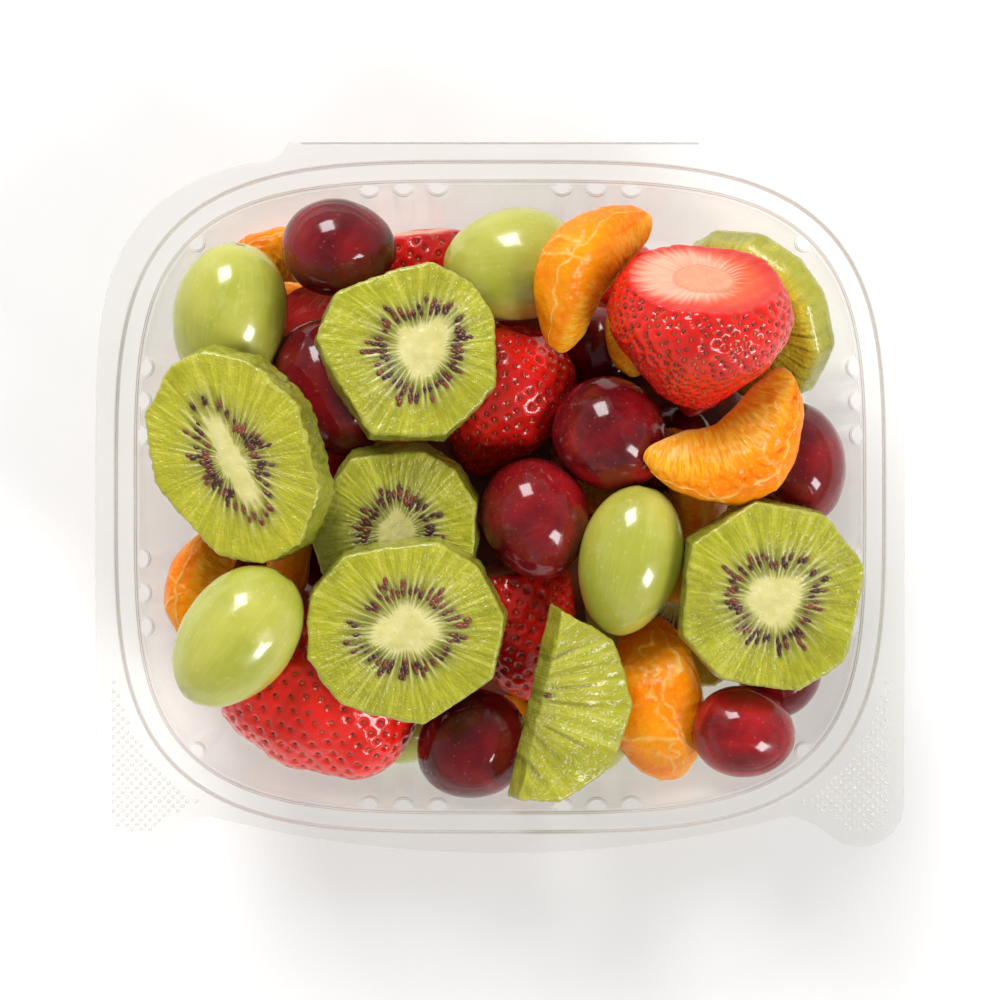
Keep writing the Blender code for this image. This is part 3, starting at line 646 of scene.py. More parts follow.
def buildKiwi(name, kiwi, seed, finish):
    # the slice is set down at once; what comes back is its seeds' turns and places
    radius, thick = kiwi["radius"] * mm, kiwi["thick"] * mm
    top, bottom = sliceOutline(kiwi, radius), sliceOutline(kiwi, radius + kiwiShape["taper"])
    core = np.array(kiwi["shift"]) * mm
    rays, strength, seedBearings, seedDepths = kiwiPattern(kiwi, seed)
    angle = circle(kiwiShape["columns"])
    direction = heading(angle)
    heart, chord = core, np.inf
    if "halved" in kiwi:
        # the grid's middle lies inside the half that is left, and its reach ends at the cut
        away = heading(math.radians(kiwi["halved"]))
        heart = -away * radius * kiwiShape["halfMiddle"]
        chord = (kiwiShape["halfOffset"] - heart @ away) / np.maximum(direction @ away, 1e-6)
    reachTop, reachBottom = (np.minimum(reachFrom(line, heart, angle), chord) for line in (top, bottom))
    reach, level, side = kiwiRings(reachTop, reachBottom, thick, kiwi.get("edge", kiwiShape["edge"]))
    flat = heart + reach[..., None] * direction
    around = flat - core
    bearing, distance = np.arctan2(around[..., 1], around[..., 0]), reachOf(around)
    inner, outer = roundReach(bearing, kiwi["core"]), reachFrom(top, core, bearing)
    share = (distance - inner) / (outer - inner)
    share = np.where(share < 0, (distance - inner) / inner, share)
    # marks on the flesh
    spread = np.radians(1.0 + 1.3 * np.clip(share, 0, 1))[..., None]
    ray = (np.exp(-(wrapped(bearing[..., None] - rays) / spread) ** 2) * strength).max(axis=-1)
    ray = ray * (1 - smooth(0.3, 0.62, share)) * kiwi.get("rayStrength", 1.0)
    inner, outer = roundReach(seedBearings, kiwi["core"]), reachFrom(top, core, seedBearings)
    seedFlat = core + (inner + seedDepths * (outer - inner))[:, None] * heading(seedBearings)
    if "halved" in kiwi:
        kept = seedFlat @ away < kiwiShape["halfOffset"] - kiwiShape["seedMargin"]
        seedFlat, seedBearings = seedFlat[kept], seedBearings[kept]
    near = np.ones(distance.shape)
    for place, turn in zip(seedFlat, seedBearings):
        outward, across = (flat - place) @ heading(turn), (flat - place) @ heading(turn + math.pi / 2)
        near = np.minimum(near, np.hypot(outward / kiwiShape["halo"][0], across / kiwiShape["halo"][1]))
    shade, pit = np.exp(-(near / 0.8) ** 2), np.exp(-(near / 0.55) ** 2)
    band = smooth(0.0, 0.08, share) * (1 - smooth(0.3, 0.6, share))
    points = vectors(flat[..., 0], flat[..., 1], level)
    rise = kiwiShape["coreRise"] * (1 - smooth(-0.6, 0.1, share)) + kiwiShape["rayRise"] * ray * band
    rise += lumps(points, seed, kiwiShape["lumps"]) - kiwiShape["pit"] * pit
    columns = np.sin(bearing * 61 + 3 * ripple(points, 16 * mm, seed + 2)) * smooth(0.2, 0.6, share)
    rise += 0.035 * mm * columns + 0.05 * mm * streaks(bearing, seed + 6, 30, 90) * smooth(0.1, 0.4, share)
    waves = kiwi["wave"] * mm * (ripple(points * (1, 1, 0.4), 7 * mm, seed + 3) * 0.7
                                 + ripple(points * (1, 1, 0.6), 1.9 * mm, seed + 4) * 0.4)
    flat = heart + (reach + waves * side)[..., None] * direction
    level = level + rise * (1 - side) - 0.5 * rise * (side > 0.99) * (level < 0)
    # painted shade first: a slice's shade value darkens all its flesh; the flesh's own dark rays are added to
    # it
    stain = np.full_like(share, kiwi.get("shade", 0.0))
    if "stain" in kiwi:
        # dark rays part of the way out
        low, high = kiwi["stain"]
        window = smooth(low - 0.12, low, share) * (1 - smooth(high, high + 0.2, share))
        stain = stain + 0.75 * window * smooth(0.1, 1.6, streaks(bearing, seed + 8, 9, 70))
    uneven = 0.04 * ripple(points, 3 * mm, seed + 5) + 0.05 * streaks(bearing, seed + 7, 20, 60)
    zone = vectors(1 - smooth(-0.2, 0.08, share + uneven), ray, np.clip(shade * band + stain, 0, 1))
    back = (0, 0, -kiwi["turns"][2])
    turnAll = lambda shape: turned(turned(shape, back), kiwi["turns"])
    move = placeFruit(name, turnAll(vectors(flat[..., 0], flat[..., 1], level)), finish, "kiwi", zone=zone,
                      polar=vectors(np.cos(bearing), np.sin(bearing), share), side=side,
                      ripe=np.full_like(share, kiwi.get("ripe", 0.0)))
    # the seeds: drops lying along the rays, half sunk
    source = np.random.default_rng(seed + 9)
    lift = thick / 2 - kiwiShape["sink"] + source.uniform(-0.12, 0.1, len(seedFlat)) * mm
    centres = turnAll(vectors(*seedFlat.T, lift)) + move
    sizes = source.uniform(0.8, 1.12, (len(seedFlat), 1, 1))
    turns = []
    for turn in seedBearings + source.normal(0, 0.12, len(seedBearings)):
        # the drop's own directions as rows, turned with the slice
        along, across = heading(turn), heading(turn + math.pi / 2)
        turns.append(turnAll(np.array([[*along, 0], [*across, 0], [0, 0, 1]])).T)
    return np.array(turns) * sizes, centres


def dropGrid(length, width, depth, columns=8, rings=7):
    # drop along X: half-width as the sine of the way along, thinner towards its tip
    along = np.linspace(0, math.pi, rings)[:, None]
    girth = np.sin(along) * (1 - 0.28 * np.cos(along))
    return vectors(-np.cos(along) * length / 2, girth * width / 2 * np.cos(circle(columns)),
                   girth * depth / 2 * np.sin(circle(columns)))


def kiwiFinish():
    look = Finish("kiwi", Subsurface_Weight=0.4, Subsurface_Radius=(2.2 * mm, 2.4 * mm, 0.6 * mm),
                  Subsurface_Scale=1.0, Coat_Weight=0.35, Coat_Roughness=0.08)
    core, ray, shade, _ = look.marks("zone")
    _, _, share, polar = look.marks("polar")
    place = look.place()
    fine = look.noise(look.scaled(polar, (9, 9, 1.1)), 4.2, 3.0)
    bands = look.noise(look.scaled(polar, (9, 9, 0.5)), 1.5, 1.0)
    broad = look.noise(look.scaled(polar, (2.2, 2.2, 1.6)), 3, 2.0)
    drops = (1 - look.cells(place, 1150).above(0.1, 0.35)) * broad.above(0.45, 0.6)
    mottle = look.noise(place, 260, 3.0)
    deep = look.noise(place, 75, 2.0)
    green = look.blend(fine.above(0.34, 0.7), (0.38, 0.385, 0.012), (0.51, 0.505, 0.03))
    inner = look.blend(fine.above(0.3, 0.7), (0.15, 0.155, 0.012), (0.33, 0.335, 0.045))
    yellow = look.blend(fine, (0.74, 0.62, 0.03), (0.90, 0.76, 0.07))
    heart = look.blend(mottle.above(0.3, 0.8), (0.66, 0.60, 0.22), (0.77, 0.71, 0.34))
    peel = look.blend(mottle.above(0.35, 0.7), (0.22, 0.27, 0.03), (0.42, 0.44, 0.08))
    flesh = look.coats(green,
                       (deep.above(0.42, 0.7) * 0.6, (0.26, 0.265, 0.010)),
                       (broad.above(0.4, 0.75) * 0.5, (0.56, 0.50, 0.03)),
                       (bands.above(0.45, 0.62) * 0.4, (0.29, 0.285, 0.010)),
                       ((1 - bands.above(0.34, 0.42)) * 0.4, (0.66, 0.64, 0.12)),
                       ((1 - share.above(0.16, 0.5)) * 0.8, inner),
                       (look.mark("ripe") * 0.8, yellow),
                       # the third zone mark: darker flesh about the seeds and dark rays, the flesh's own, and
                       # painted shade over a whole slice
                       (shade * 0.75, (0.085, 0.06, 0.012)),
                       (ray * (0.55 + 0.4 * fine), (0.72, 0.70, 0.26)),
                       (share.above(0.88, 1.0) * (0.2 + 0.5 * mottle), (0.40, 0.37, 0.05)),
                       (core, heart),
                       (look.mark("side") * 0.55, peel))
    height = (look.noise(place, 1300, 2.0) * 0.6 + look.cells(place, 700) * 0.3) * (1 - core * 0.6)
    height = height + (fine * 0.45 + bands * 0.35) * (1 - core) + drops * 0.22
    look.set(Base_Color=flesh, Roughness=0.22 * mottle + 0.12 * (1 - drops),
             Normal=look.bump(height, 0.45 * mm, 1.0))
    return look


def seedFinish(name, dark, light):
    look = Finish(name, Coat_Weight=0.3, Coat_Roughness=0.12, Roughness=0.35)
    tone = look.noise(look.place(), 350, 1.0)
    look.set(Base_Color=look.blend(tone.above(0.4, 0.7), dark, light),
             Normal=look.bump(look.noise(look.place(), 2500, 1.0), 0.05 * mm, 0.5))
    return look


# grapes: length and width in mm, turns, tone: how red a red one is, and how much waxy haze covers the skin
grapes = {
    "green_grape_1": (36, 26.5, (0, -12, 80), 0, 0),
    "green_grape_2": (33, 26, (0, -4, 4), 0, 0),
    "green_grape_3": (35, 23.5, (0, -6, 77), 0, 0),
    "green_grape_4": (36, 25.5, (0, 0, 52), 0, 0),
    "green_grape_5": (24, 19, (0, 0, 100), 0, 0),
    "red_grape_1": (26.5, 22.5, (0, 0, 175), 0.35, 0.3),
    "red_grape_2": (33, 25, (0, 0, 118), 0.15, 0.2),
    "red_grape_3": (28.5, 25, (0, 0, 105), 0.55, 0.35),
    "red_grape_4": (27.5, 26, (0, 0, 140), 0.85, 0.3),
    "red_grape_5": (29, 24, (0, 0, 110), 0.35, 0.4),
    "red_grape_6": (27, 25, (0, 0, 30), 0.25, 0.15),
    "red_grape_7": (24, 21, (0, -4, 170), 1.0, 0.5),
    "red_grape_8": (22, 19, (0, 5, 60), 0.5, 0.5),
    "red_grape_9": (25, 21, (0, 0, 35), 0.5, 0.5),
    "red_grape_10": (25, 21, (0, 4, 120), 0.5, 0.2),
    "red_grape_11": (23, 20, (0, 0, 20), 0.5, 0.2),
    "red_grape_12": (24, 20, (0, 0, 80), 0.5, 0.2),
}
grapeShape = {"fullness": 0.06, "columns": 120, "rings": 90, "scarRadius": 1.6 * mm, "dimple": 0.55 * mm,
              "dimpleRadius": 1.5 * mm, "facet": 0.06 * mm, "lumps": ((0.11, 17), (0.035, 6))}


def grapeGrid(length, width, seed, rings, columns):
    # ellipsoid along X, fuller at one end, a little uneven, with a dimple where the stalk was
    along = np.cos(np.linspace(0, math.pi, rings))[:, None]
    around = circle(columns)
    girth = np.sqrt(1 - along ** 2) * (1 + grapeShape["fullness"] * along) * width / 2
    grid = vectors(along * length / 2, girth * np.cos(around), girth * np.sin(around))
    stalk = reachOf(grid[..., 1:])
    bump = lumps(grid, seed, grapeShape["lumps"])
    bump -= grapeShape["facet"] * np.cos(around * 3) ** 2 * np.abs(along)
    bump -= grapeShape["dimple"] * np.exp(-(stalk / grapeShape["dimpleRadius"]) ** 2) * (along > 0)
    return grid + unit(grid) * bump[..., None], along, around


def grapeMarks(grid, along, around, tone, bloom, warp):
    # the stalk's scar, tone and haze, and where the veins run
    stalk = reachOf(grid[..., 1:]) / grapeShape["scarRadius"]
    scar = (1 - smooth(0.45, 1.1, stalk + warp)) * (along > 0)
    return {"skin": vectors(scar, tone, bloom), "veins": vectors(np.cos(around), np.sin(around), along)}


def buildGrape(name, length, width, turns, tone, bloom, seed, finish):
    grid, along, around = grapeGrid(length * mm, width * mm, seed, grapeShape["rings"], grapeShape["columns"])
    marks = grapeMarks(grid, along, around, tone, bloom, 0.15 * ripple(grid, 2 * mm, seed + 2))
    placeFruit(name, turned(grid, turns), finish, name.partition("_grape")[0] + "_grape", "_skin", **marks)


def greenGrapeFinish():
    look = Finish("green_grape", Subsurface_Weight=0.55, Subsurface_Radius=(6 * mm, 6 * mm, 2 * mm),
                  Subsurface_Scale=1.0, Coat_Weight=0.5, Coat_Roughness=0.05)
    scar, _, _, _ = look.marks("skin")
    _, _, _, veins = look.marks("veins")
    place = look.place()
    broad = look.noise(place, 55, 3.0, 0.6)
    lines = look.noise(look.scaled(veins, (5, 5, 0.8)), 3, 4.0, 0.8)
    haze = look.noise(place, 160, 4.0)
    dots = 1 - look.cells(place, 420).above(0.1, 0.22)
    skin = look.coats(look.blend(broad.above(0.3, 0.7), (0.41, 0.43, 0.045), (0.54, 0.53, 0.09)),
                      (lines.above(0.45, 0.75) * 0.18, (0.66, 0.67, 0.20)),
                      (haze.above(0.5, 0.8) * 0.3, (0.66, 0.67, 0.28)),
                      (dots * 0.2, (0.70, 0.70, 0.34)),
                      (scar, (0.30, 0.16, 0.04)))
    dents = look.noise(place, 230, 1.0)
    look.set(Base_Color=skin, Roughness=0.16 + 0.16 * haze + 0.3 * scar,
             Normal=look.bump(dents + haze * 0.4 + scar * 0.6, 0.12 * mm, 0.7))
    return look


def redGrapeFinish():
    look = Finish("red_grape", Coat_Weight=0.35, Coat_Roughness=0.05, Specular_IOR_Level=0.25)
    scar, tone, bloom, _ = look.marks("skin")
    _, _, _, veins = look.marks("veins")
    place = look.place()
    broad = look.noise(place, 60, 4.0, 0.7)
    haze = look.noise(place, 150, 5.0, 1.6)
    lines = look.noise(look.scaled(veins, (6, 6, 1.0)), 4, 3.0, 0.6)
    dots = 1 - look.cells(place, 520).above(0.09, 0.2)
    film = haze.above(0.46, 0.72) * bloom
    red = broad.above(0.3, 0.75) * (0.25 + 0.8 * tone)
    skin = look.coats(look.blend(red, (0.080, 0.003, 0.006), (0.44, 0.010, 0.013)),
                      (lines.above(0.5, 0.8) * 0.35 * tone, (0.36, 0.02, 0.03)),
                      (film * 0.35, (0.30, 0.07, 0.08)),
                      (dots * 0.22, (0.40, 0.14, 0.12)),
                      (scar, (0.12, 0.06, 0.03)))
    dents = look.noise(place, 230, 1.0)
    look.set(Base_Color=skin, Roughness=0.12 + 0.3 * film + 0.3 * scar,
             Normal=look.bump(dents + haze * 0.3 + scar * 0.6, 0.12 * mm, 0.7))
    return look


# strawberries: length from tip to the uncut stalk end and greatest width in mm; half: cut along its length;
# red: bearing where the cut face's red reaches furthest in, and where red begins there and opposite,
# as shares of the radius; ragged: bearing of its longest rays; bright: how light the skin's red is
strawberries = {
    "strawberry_1": {"length": 38, "width": 40, "turns": (0, 60, 86), "seeds": 700,
                     "red": (262, 0.42, 0.95), "ragged": -60, "bright": 0.6},
    "strawberry_2": {"length": 44, "width": 32, "turns": (0, 78, 72), "seeds": 340, "whole": True,
                     "bright": 0.2},
    "strawberry_3": {"length": 51, "width": 37, "turns": (0, 94, 158), "half": True, "seeds": 420, "blunt": 5,
                     "taper": 0.02, "bright": 1.0},
    "strawberry_4": {"length": 38, "width": 28, "turns": (0, 80, 98), "seeds": 230},
    "strawberry_5": {"length": 30, "width": 24, "turns": (0, 82, 95), "seeds": 170},
    "strawberry_6": {"length": 34, "width": 28, "turns": (0, -84, 65), "half": True, "seeds": 200},
}
berryShape = {"taper": 0.34, "bulge": 0.12, "cut": 0.34, "columns": 230, "rings": 106, "edge": 1.2 * mm,
              "pit": 0.58 * mm, "pitRadius": 0.62 * 1.05 * mm, "drop": (1.1 * mm, 0.7 * mm, 0.5 * mm),
              "lumps": ((0.55, 19), (0.16, 6)), "ringShare": 0.42, "ringDepth": 0.35 * mm,
              "collar": 0.1 * mm, "sink": 0.62}


def berryProfile(length, width, whole, blunt, taper):
    # radius and height from the tip up: a circle's half-width times a taper, as far as the hulling cut;
    # a whole berry is rounded off under that height instead, and a blunt one has a fuller tip
    top = 2 * berryShape["cut"]
    up = -np.cos(np.linspace(0, math.acos(-0.97) if whole else math.acos(-top), 400))
    girth = np.sqrt(1 - np.abs(up) ** np.where(up < 0, blunt, 2))
    radius = girth * (1 + taper * up - berryShape["bulge"] * up ** 2) * width / 2
    return radius, ((up + 1) * (1 + top) / 2 - 1 if whole else up) * length / 2


def roundAxis(radius, height, angle):
    # points at these radii and heights about the Z axis
    return vectors(radius * np.cos(angle), radius * np.sin(angle), height)


def buildStrawberry(name, berry, seed, finish):
    # the berry is set down at once; what comes back is its seeds' turns and places
    radius, height = berryProfile(berry["length"] * mm, berry["width"] * mm, berry.get("whole"),
                                  berry.get("blunt", 2), berry.get("taper", berryShape["taper"]))
    edge = berryShape["edge"]
    # even steps along the profile, a rounded rim, and the cut
    way = np.concatenate([[0], np.cumsum(np.hypot(np.diff(radius), np.diff(height)))])
    steps = np.linspace(0, way[-1] - edge, berryShape["rings"])
    skinRadius, skinHeight = np.interp(steps, way, radius), np.interp(steps, way, height)
    rimRadius, rimHeight = radius[-1], height[-1]
    turn = np.linspace(0, 1, 6)[1:]
    bendRadius = skinRadius[-1] + (rimRadius - edge - skinRadius[-1]) * turn ** 2
    bendHeight = skinHeight[-1] + (rimHeight - skinHeight[-1]) * (1 - (1 - turn) ** 2)
    faceRadius = (rimRadius - edge) * np.linspace(1, 0, 34)[1:]
    radii = np.concatenate([skinRadius, bendRadius, faceRadius])[:, None]
    heights = np.concatenate([skinHeight, bendHeight, np.full(len(faceRadius), rimHeight)])[:, None]
    cut = np.concatenate([np.zeros(len(skinRadius)), turn ** 2, np.ones(len(faceRadius))])[:, None]
    around = circle(berryShape["columns"])
    grid = roundAxis(radii, heights, around)
    # the seeds in a spiral, spread by the area of the skin
    count = berry["seeds"]
    area = np.concatenate([[0], np.cumsum((radius[1:] + radius[:-1]) / 2 * np.diff(way))])
    reached = (np.arange(count) + 0.5) / count * area[-1] * 0.985
    source = np.random.default_rng(seed)
    seedWay = np.interp(reached, area, way) + source.normal(0, 0.12, count) * mm
    seedTurn = np.arange(count) * math.pi * (3 - math.sqrt(5)) + source.normal(0, 0.03, count)
    seeds = roundAxis(np.interp(seedWay, way, radius), np.interp(seedWay, way, height), seedTurn)
    # outward directions of the skin
    slopeR, slopeH = np.gradient(radii, axis=0), np.gradient(heights, axis=0)
    outR, outH = slopeH / np.hypot(slopeR, slopeH), -slopeR / np.hypot(slopeR, slopeH)
    normal = roundAxis(outR, outH, around)
    normal[0] = (0, 0, -1)
    gap = np.ones(grid.shape[:2])
    for start in range(0, count, 40):
        gap = np.minimum(gap, reachOf(grid[..., None, :] - seeds[start:start + 40]).min(axis=-1))
    pit = np.exp(-(gap / berryShape["pitRadius"]) ** 2)
    flesh = 1 - np.clip(cut, 0, 1)
    share = radii / rimRadius
    lump = lumps(grid, seed, berryShape["lumps"])
    collar = berryShape["collar"] * smooth(0.6 * mm, 1.6 * mm, gap)
    ring = berryShape["ringDepth"] * np.exp(-((share - berryShape["ringShare"]) / 0.06) ** 2)
    rise = (lump - berryShape["pit"] * pit + collar) * flesh
    rise += (1 - flesh) * (0.12 * mm * ripple(grid, 4 * mm, seed + 2) + 0.5 * lump - ring)
    grid = grid + normal * rise[..., None]
    # how red the cut face is: the red reaches furthest in at one bearing, in rays at another
    reddest, nearest, farthest = berry.get("red", (0, 0.75, 0.9))
    reach = nearest + (farthest - nearest) * (0.5 - 0.5 * np.cos(around - math.radians(reddest))) ** 0.8
    ragged = wrapped(around - math.radians(berry.get("ragged", 0)))
    uneven = 0.05 + 0.13 * np.exp(-(ragged / 0.6) ** 2)
    blush = smooth(reach - 0.26, reach + 0.12, share + uneven * streaks(around, seed + 5, 16, 70))
    cut = cut * (not berry.get("whole")) * np.ones(len(around))
    kept = np.ones(count, bool)
    if berry.get("half"):
        # the far side is pressed flat onto the cutting plane, where it becomes the cut face
        far = grid[..., 0] > 0
        half = smooth(-0.2 * mm, 0.5 * mm, grid[..., 0])
        grid[..., 0] = np.where(far, 0.12 * mm * ripple(grid, 5 * mm, seed + 4), grid[..., 0])
        kept = seeds[:, 0] < -0.8 * mm
        blush, cut = np.maximum(blush, half * 0.75), np.maximum(cut, half)
    # face: share of cut face, share of the radius, and the seed pits, which the finish darkens as painted
    # shade
    move = placeFruit(name, turned(grid, berry["turns"]), finish, "strawberry",
                      face=vectors(cut, share, pit * flesh), blush=blush,
                      polar=vectors(np.cos(around), np.sin(around), share),
                      bright=np.full(grid.shape[:2], berry.get("bright", 0.5)))
    # seeds point to the tip and lie in their pits
    outwards = roundAxis(np.interp(seedWay, steps, outR[:len(steps), 0]),
                         np.interp(seedWay, steps, outH[:len(steps), 0]), seedTurn)[kept]
    seeds, down = seeds[kept], np.array([0, 0, -1.0])
    sunk = berryShape["pit"] * berryShape["sink"]
    centres = seeds + outwards * (lumps(seeds, seed, berryShape["lumps"]) - sunk)[:, None]
    tipward = unit(down - outwards * (outwards @ down)[:, None], 1e-9)
    turns = np.stack([tipward, np.cross(outwards, tipward), outwards], -1)
    sizes = source.uniform(0.85, 1.15, (len(seeds), 1, 1))
    return turnMatrix(berry["turns"]) @ turns * sizes, turned(centres, berry["turns"]) + move


def strawberryFinish():
    look = Finish("strawberry", Coat_Roughness=0.05, Specular_IOR_Level=0.25)
    cut, share, pit, _ = look.marks("face")
    _, _, _, polar = look.marks("polar")
    place = look.place()
    broad = look.noise(place, 70, 3.0, 0.5)
    fine = look.noise(place, 420, 3.0)
    bright = broad.above(0.3, 0.7) * 0.4 + look.mark("bright") * 0.6
    # the seed pits are darkened as painted shade
    skin = look.coats(look.blend(bright, (0.46, 0.004, 0.006), (0.96, 0.022, 0.010)),
                      (fine.above(0.5, 0.85) * 0.3, (0.70, 0.035, 0.025)),
                      (pit * 0.6, (0.25, 0.004, 0.006)))
    # cut flesh: a darker salmon heart, pale flesh with rays, and red towards the skin
    rays = look.noise(look.scaled(polar, (7, 7, 0.8)), 4, 3.0)
    pale = look.blend(rays.above(0.35, 0.7), (0.78, 0.36, 0.24), (0.84, 0.50, 0.36))
    red = look.blend(share.above(0.55, 1.0), (0.82, 0.10, 0.025), (0.62, 0.02, 0.012))
    heart = look.blend(rays.above(0.3, 0.7), (0.70, 0.28, 0.15), (0.76, 0.36, 0.21))
    line = share.above(0.35, 0.4) * (1 - share.above(0.4, 0.45))
    flesh = look.coats(pale,
                       (look.mark("blush"), red),
                       (1 - share.above(0.37, 0.42), heart),
                       (line * 0.5, (0.60, 0.19, 0.08)))
    height = fine * 0.6 + look.noise(place, 1300, 2.0) * 0.5
    look.set(Base_Color=look.blend(cut.above(0.35, 0.75), skin, flesh),
             Roughness=0.1 + 0.18 * fine + 0.25 * cut, Coat_Weight=0.5 - 0.4 * cut,
             Normal=look.bump(height, 0.3 * mm, 0.9))
    return look


# mandarin: length, depth from back to inner edge, and thickness in mm; curl: how far the ends bend inwards;
# lines: bearing and width in degrees of the white lines along the back; torn: how ragged the rim is
mandarins = {
    "mandarin_1": {"length": 38, "depth": 23, "thick": 16, "curl": 0.3, "turns": (48, 0, 56), "branches": 2,
                   "lines": ((30, 1.7), (-60, 1.6))},
    "mandarin_2": {"length": 39, "depth": 23, "thick": 14, "curl": 0.34, "turns": (8, 0, 212), "torn": 1.0,
                   "notch": 0.14},
    "mandarin_3": {"length": 38.5, "depth": 25, "thick": 27, "curl": 0.2, "turns": (78, 0, 98), "branches": 6,
                   "lines": ((24, 1.8), (10, 1.4), (-50, 1.6))},
    "mandarin_4": {"length": 32, "depth": 16, "thick": 13, "curl": 0.3, "turns": (12, 0, 84)},
    "mandarin_5": {"length": 32, "depth": 15, "thick": 12, "curl": 0.3, "turns": (10, -4, 12)},
}
mandarinShape = {"middle": 0.78, "wedge": 0.34, "columns": 200, "rings": 150, "fanCentre": 0.9,
                 "lumps": ((0.28, 9), (0.1, 3.5)), "sacRise": 0.13 * mm, "pithRise": 0.2 * mm,
                 "tear": 0.5 * mm}


def buildMandarin(name, segment, seed, finish):
    length, depth, thick = segment["length"] * mm, segment["depth"] * mm, segment["thick"] * mm
    along = -np.cos(np.linspace(0, math.pi, mandarinShape["rings"]))[:, None]
    around = circle(mandarinShape["columns"])
    girth = np.sqrt(np.clip(1 - along ** 2, 0, 1))
    out, up = girth * np.cos(around), girth * np.sin(around)
    # a flattened ball, bent, thin at its inner edge and nearly flat on its two sides
    wedge = mandarinShape["middle"] + mandarinShape["wedge"] * out
    flatter = np.sign(up) * np.abs(up) ** 0.86 * girth ** 0.14
    curl = segment["curl"] * depth
    notch = segment.get("notch", 0.1) * depth * np.exp(-(along / 0.5) ** 2) * np.clip(-out, 0, 1)
    grid = vectors(along * length / 2, out * depth / 2 - curl * along ** 2 + curl / 3 + notch,
                   flatter * wedge * thick / 2)
    bearing = np.degrees(wrapped(around)) * np.ones_like(along)
    fromBack = np.abs(bearing)
    # white pith: along the inner edge, two lines along the back, and a few branches
    warp = 9 * ripple(grid, 14 * mm, seed) + 4 * ripple(grid, 5 * mm, seed + 1)
    lines = np.zeros_like(bearing)
    for middle, width in segment.get("lines", ((38, 2.4), (-44, 1.8))):
        lines = np.maximum(lines, np.exp(-((bearing - middle + warp) / width) ** 2))
    source = np.random.default_rng(seed)
    for _ in range(segment.get("branches", 4)):
        start, slant = source.uniform(-0.85, 0.85), source.uniform(-0.005, 0.005)
        low, high = sorted(source.uniform(-80, 80, 2))
        across = np.exp(-((along - start - slant * bearing + 0.02 * warp / 4) / 0.016) ** 2)
        ends = smooth(low - 8, low, bearing) * (1 - smooth(high, high + 8, bearing))
        lines = np.maximum(lines, across * ends * 0.8)
    strands = np.clip(0.85 + 0.45 * ripple(grid, 3 * mm, seed + 2), 0, 1)
    edge = smooth(146, 172, fromBack + 0.5 * warp)
    pith = np.clip(np.maximum(lines * strands, edge * 0.9), 0, 1) * smooth(0, 0.05, girth)
    flank = smooth(60, 85, fromBack) * (1 - smooth(150, 170, fromBack))
    normal = unit(grid * (0.2, 1, 1), 1e-9)
    # juice sacs fan out from a point behind the inner edge
    behind = depth * mandarinShape["fanCentre"]
    fan = np.arctan2(grid[..., 0], grid[..., 1] + behind)
    sacs = np.sin(fan * 46 + 2.2 * ripple(grid, 7 * mm, seed + 3))
    rise = lumps(grid, seed + 4, mandarinShape["lumps"])
    rise += mandarinShape["sacRise"] * sacs * flank + mandarinShape["pithRise"] * pith
    rim = np.exp(-((fromBack - 55) / 14) ** 2)
    rise += segment.get("torn", 0.35) * mandarinShape["tear"] * rim * ripple(grid, 2.6 * mm, seed + 6)
    grid = grid + normal * (rise * smooth(0, 0.2, girth))[..., None]
    fleshPlace = vectors(fan * 10, np.hypot(grid[..., 0], grid[..., 1] + behind) / depth,
                         grid[..., 2] / depth)
    placeFruit(name, turned(grid, segment["turns"]), finish, "mandarin",
               pith=vectors(pith, flank, 0.0), sacs=fleshPlace)


def mandarinFinish():
    look = Finish("mandarin", Subsurface_Weight=0.35, Subsurface_Radius=(4 * mm, 1.8 * mm, 0.3 * mm),
                  Subsurface_Scale=1.0, Coat_Weight=0.12, Coat_Roughness=0.08, Specular_IOR_Level=0.15)
    pith, flank, _, _ = look.marks("pith")
    _, _, _, sacs = look.marks("sacs")
    place = look.place()
    broad = look.noise(place, 70, 3.0, 0.4)
    fine = look.noise(place, 500, 3.0)
    cells = look.cells(look.scaled(sacs, (1.6, 3.2, 3.0)), 2.2)
    streak = look.noise(look.scaled(sacs, (3.0, 1.2, 1.0)), 3.0, 3.0)
    grains = look.cells(place, 900)
    juicy = look.coats(look.blend(streak.above(0.35, 0.72), (0.98, 0.29, 0.002), (1.0, 0.47, 0.014)),
                       (cells.above(0.35, 0.75) * 0.5, (1.0, 0.64, 0.09)))
    skin = look.coats(look.blend(broad.above(0.3, 0.7), (0.93, 0.21, 0.002), (1.0, 0.34, 0.004)),
                      ((1 - grains.above(0.15, 0.5)) * 0.4, (1.0, 0.46, 0.012)),
                      (flank, juicy),
                      (fine.above(0.55, 0.85) * 0.3, (1.0, 0.48, 0.06)),
                      (pith * 0.7, (1.0, 0.66, 0.20)))
    height = fine * 0.5 + grains * 0.45 + cells * flank * 0.9 + pith * 0.5
    look.set(Base_Color=skin, Roughness=0.16 + 0.25 * fine, Normal=look.bump(height, 0.3 * mm, 0.8))
    return look


# the hidden fruit below: kinds, with length, depth and thickness in mm, are tried at random places
# inside the wall and clear of everything already there
bed = {"seed": 5, "tries": 7000, "levels": 9, "low": 1.2 * mm, "high": 33 * mm, "clear": 0.2 * mm,
       "wallFoot": 14.1 * mm, "wallRise": 6.2 * mm, "core": (3 * mm, 20 * mm, 0.87),
       "kinds": {"red_grape": (25, 21, 21), "green_grape": (27, 21, 21), "mandarin": (30, 15, 14),
                 "strawberry": (27, 23, 23), "red_grape_small": (18, 16, 16), "mandarin_small": (24, 13, 12),
                 "green_grape_small": (20, 16, 16), "strawberry_small": (19, 16, 16)}}


def surfacesOf(names):
    # nearest-surface search over the shapes of these CAD nodes
    points, faces = [], []
    for name in names:
        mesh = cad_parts[name].data
        faces += [tuple(place + len(points) for place in face.vertices) for face in mesh.polygons]
        points += [tuple(vertex.co) for vertex in mesh.vertices]
    return BVHTree.FromPolygons(points, faces)


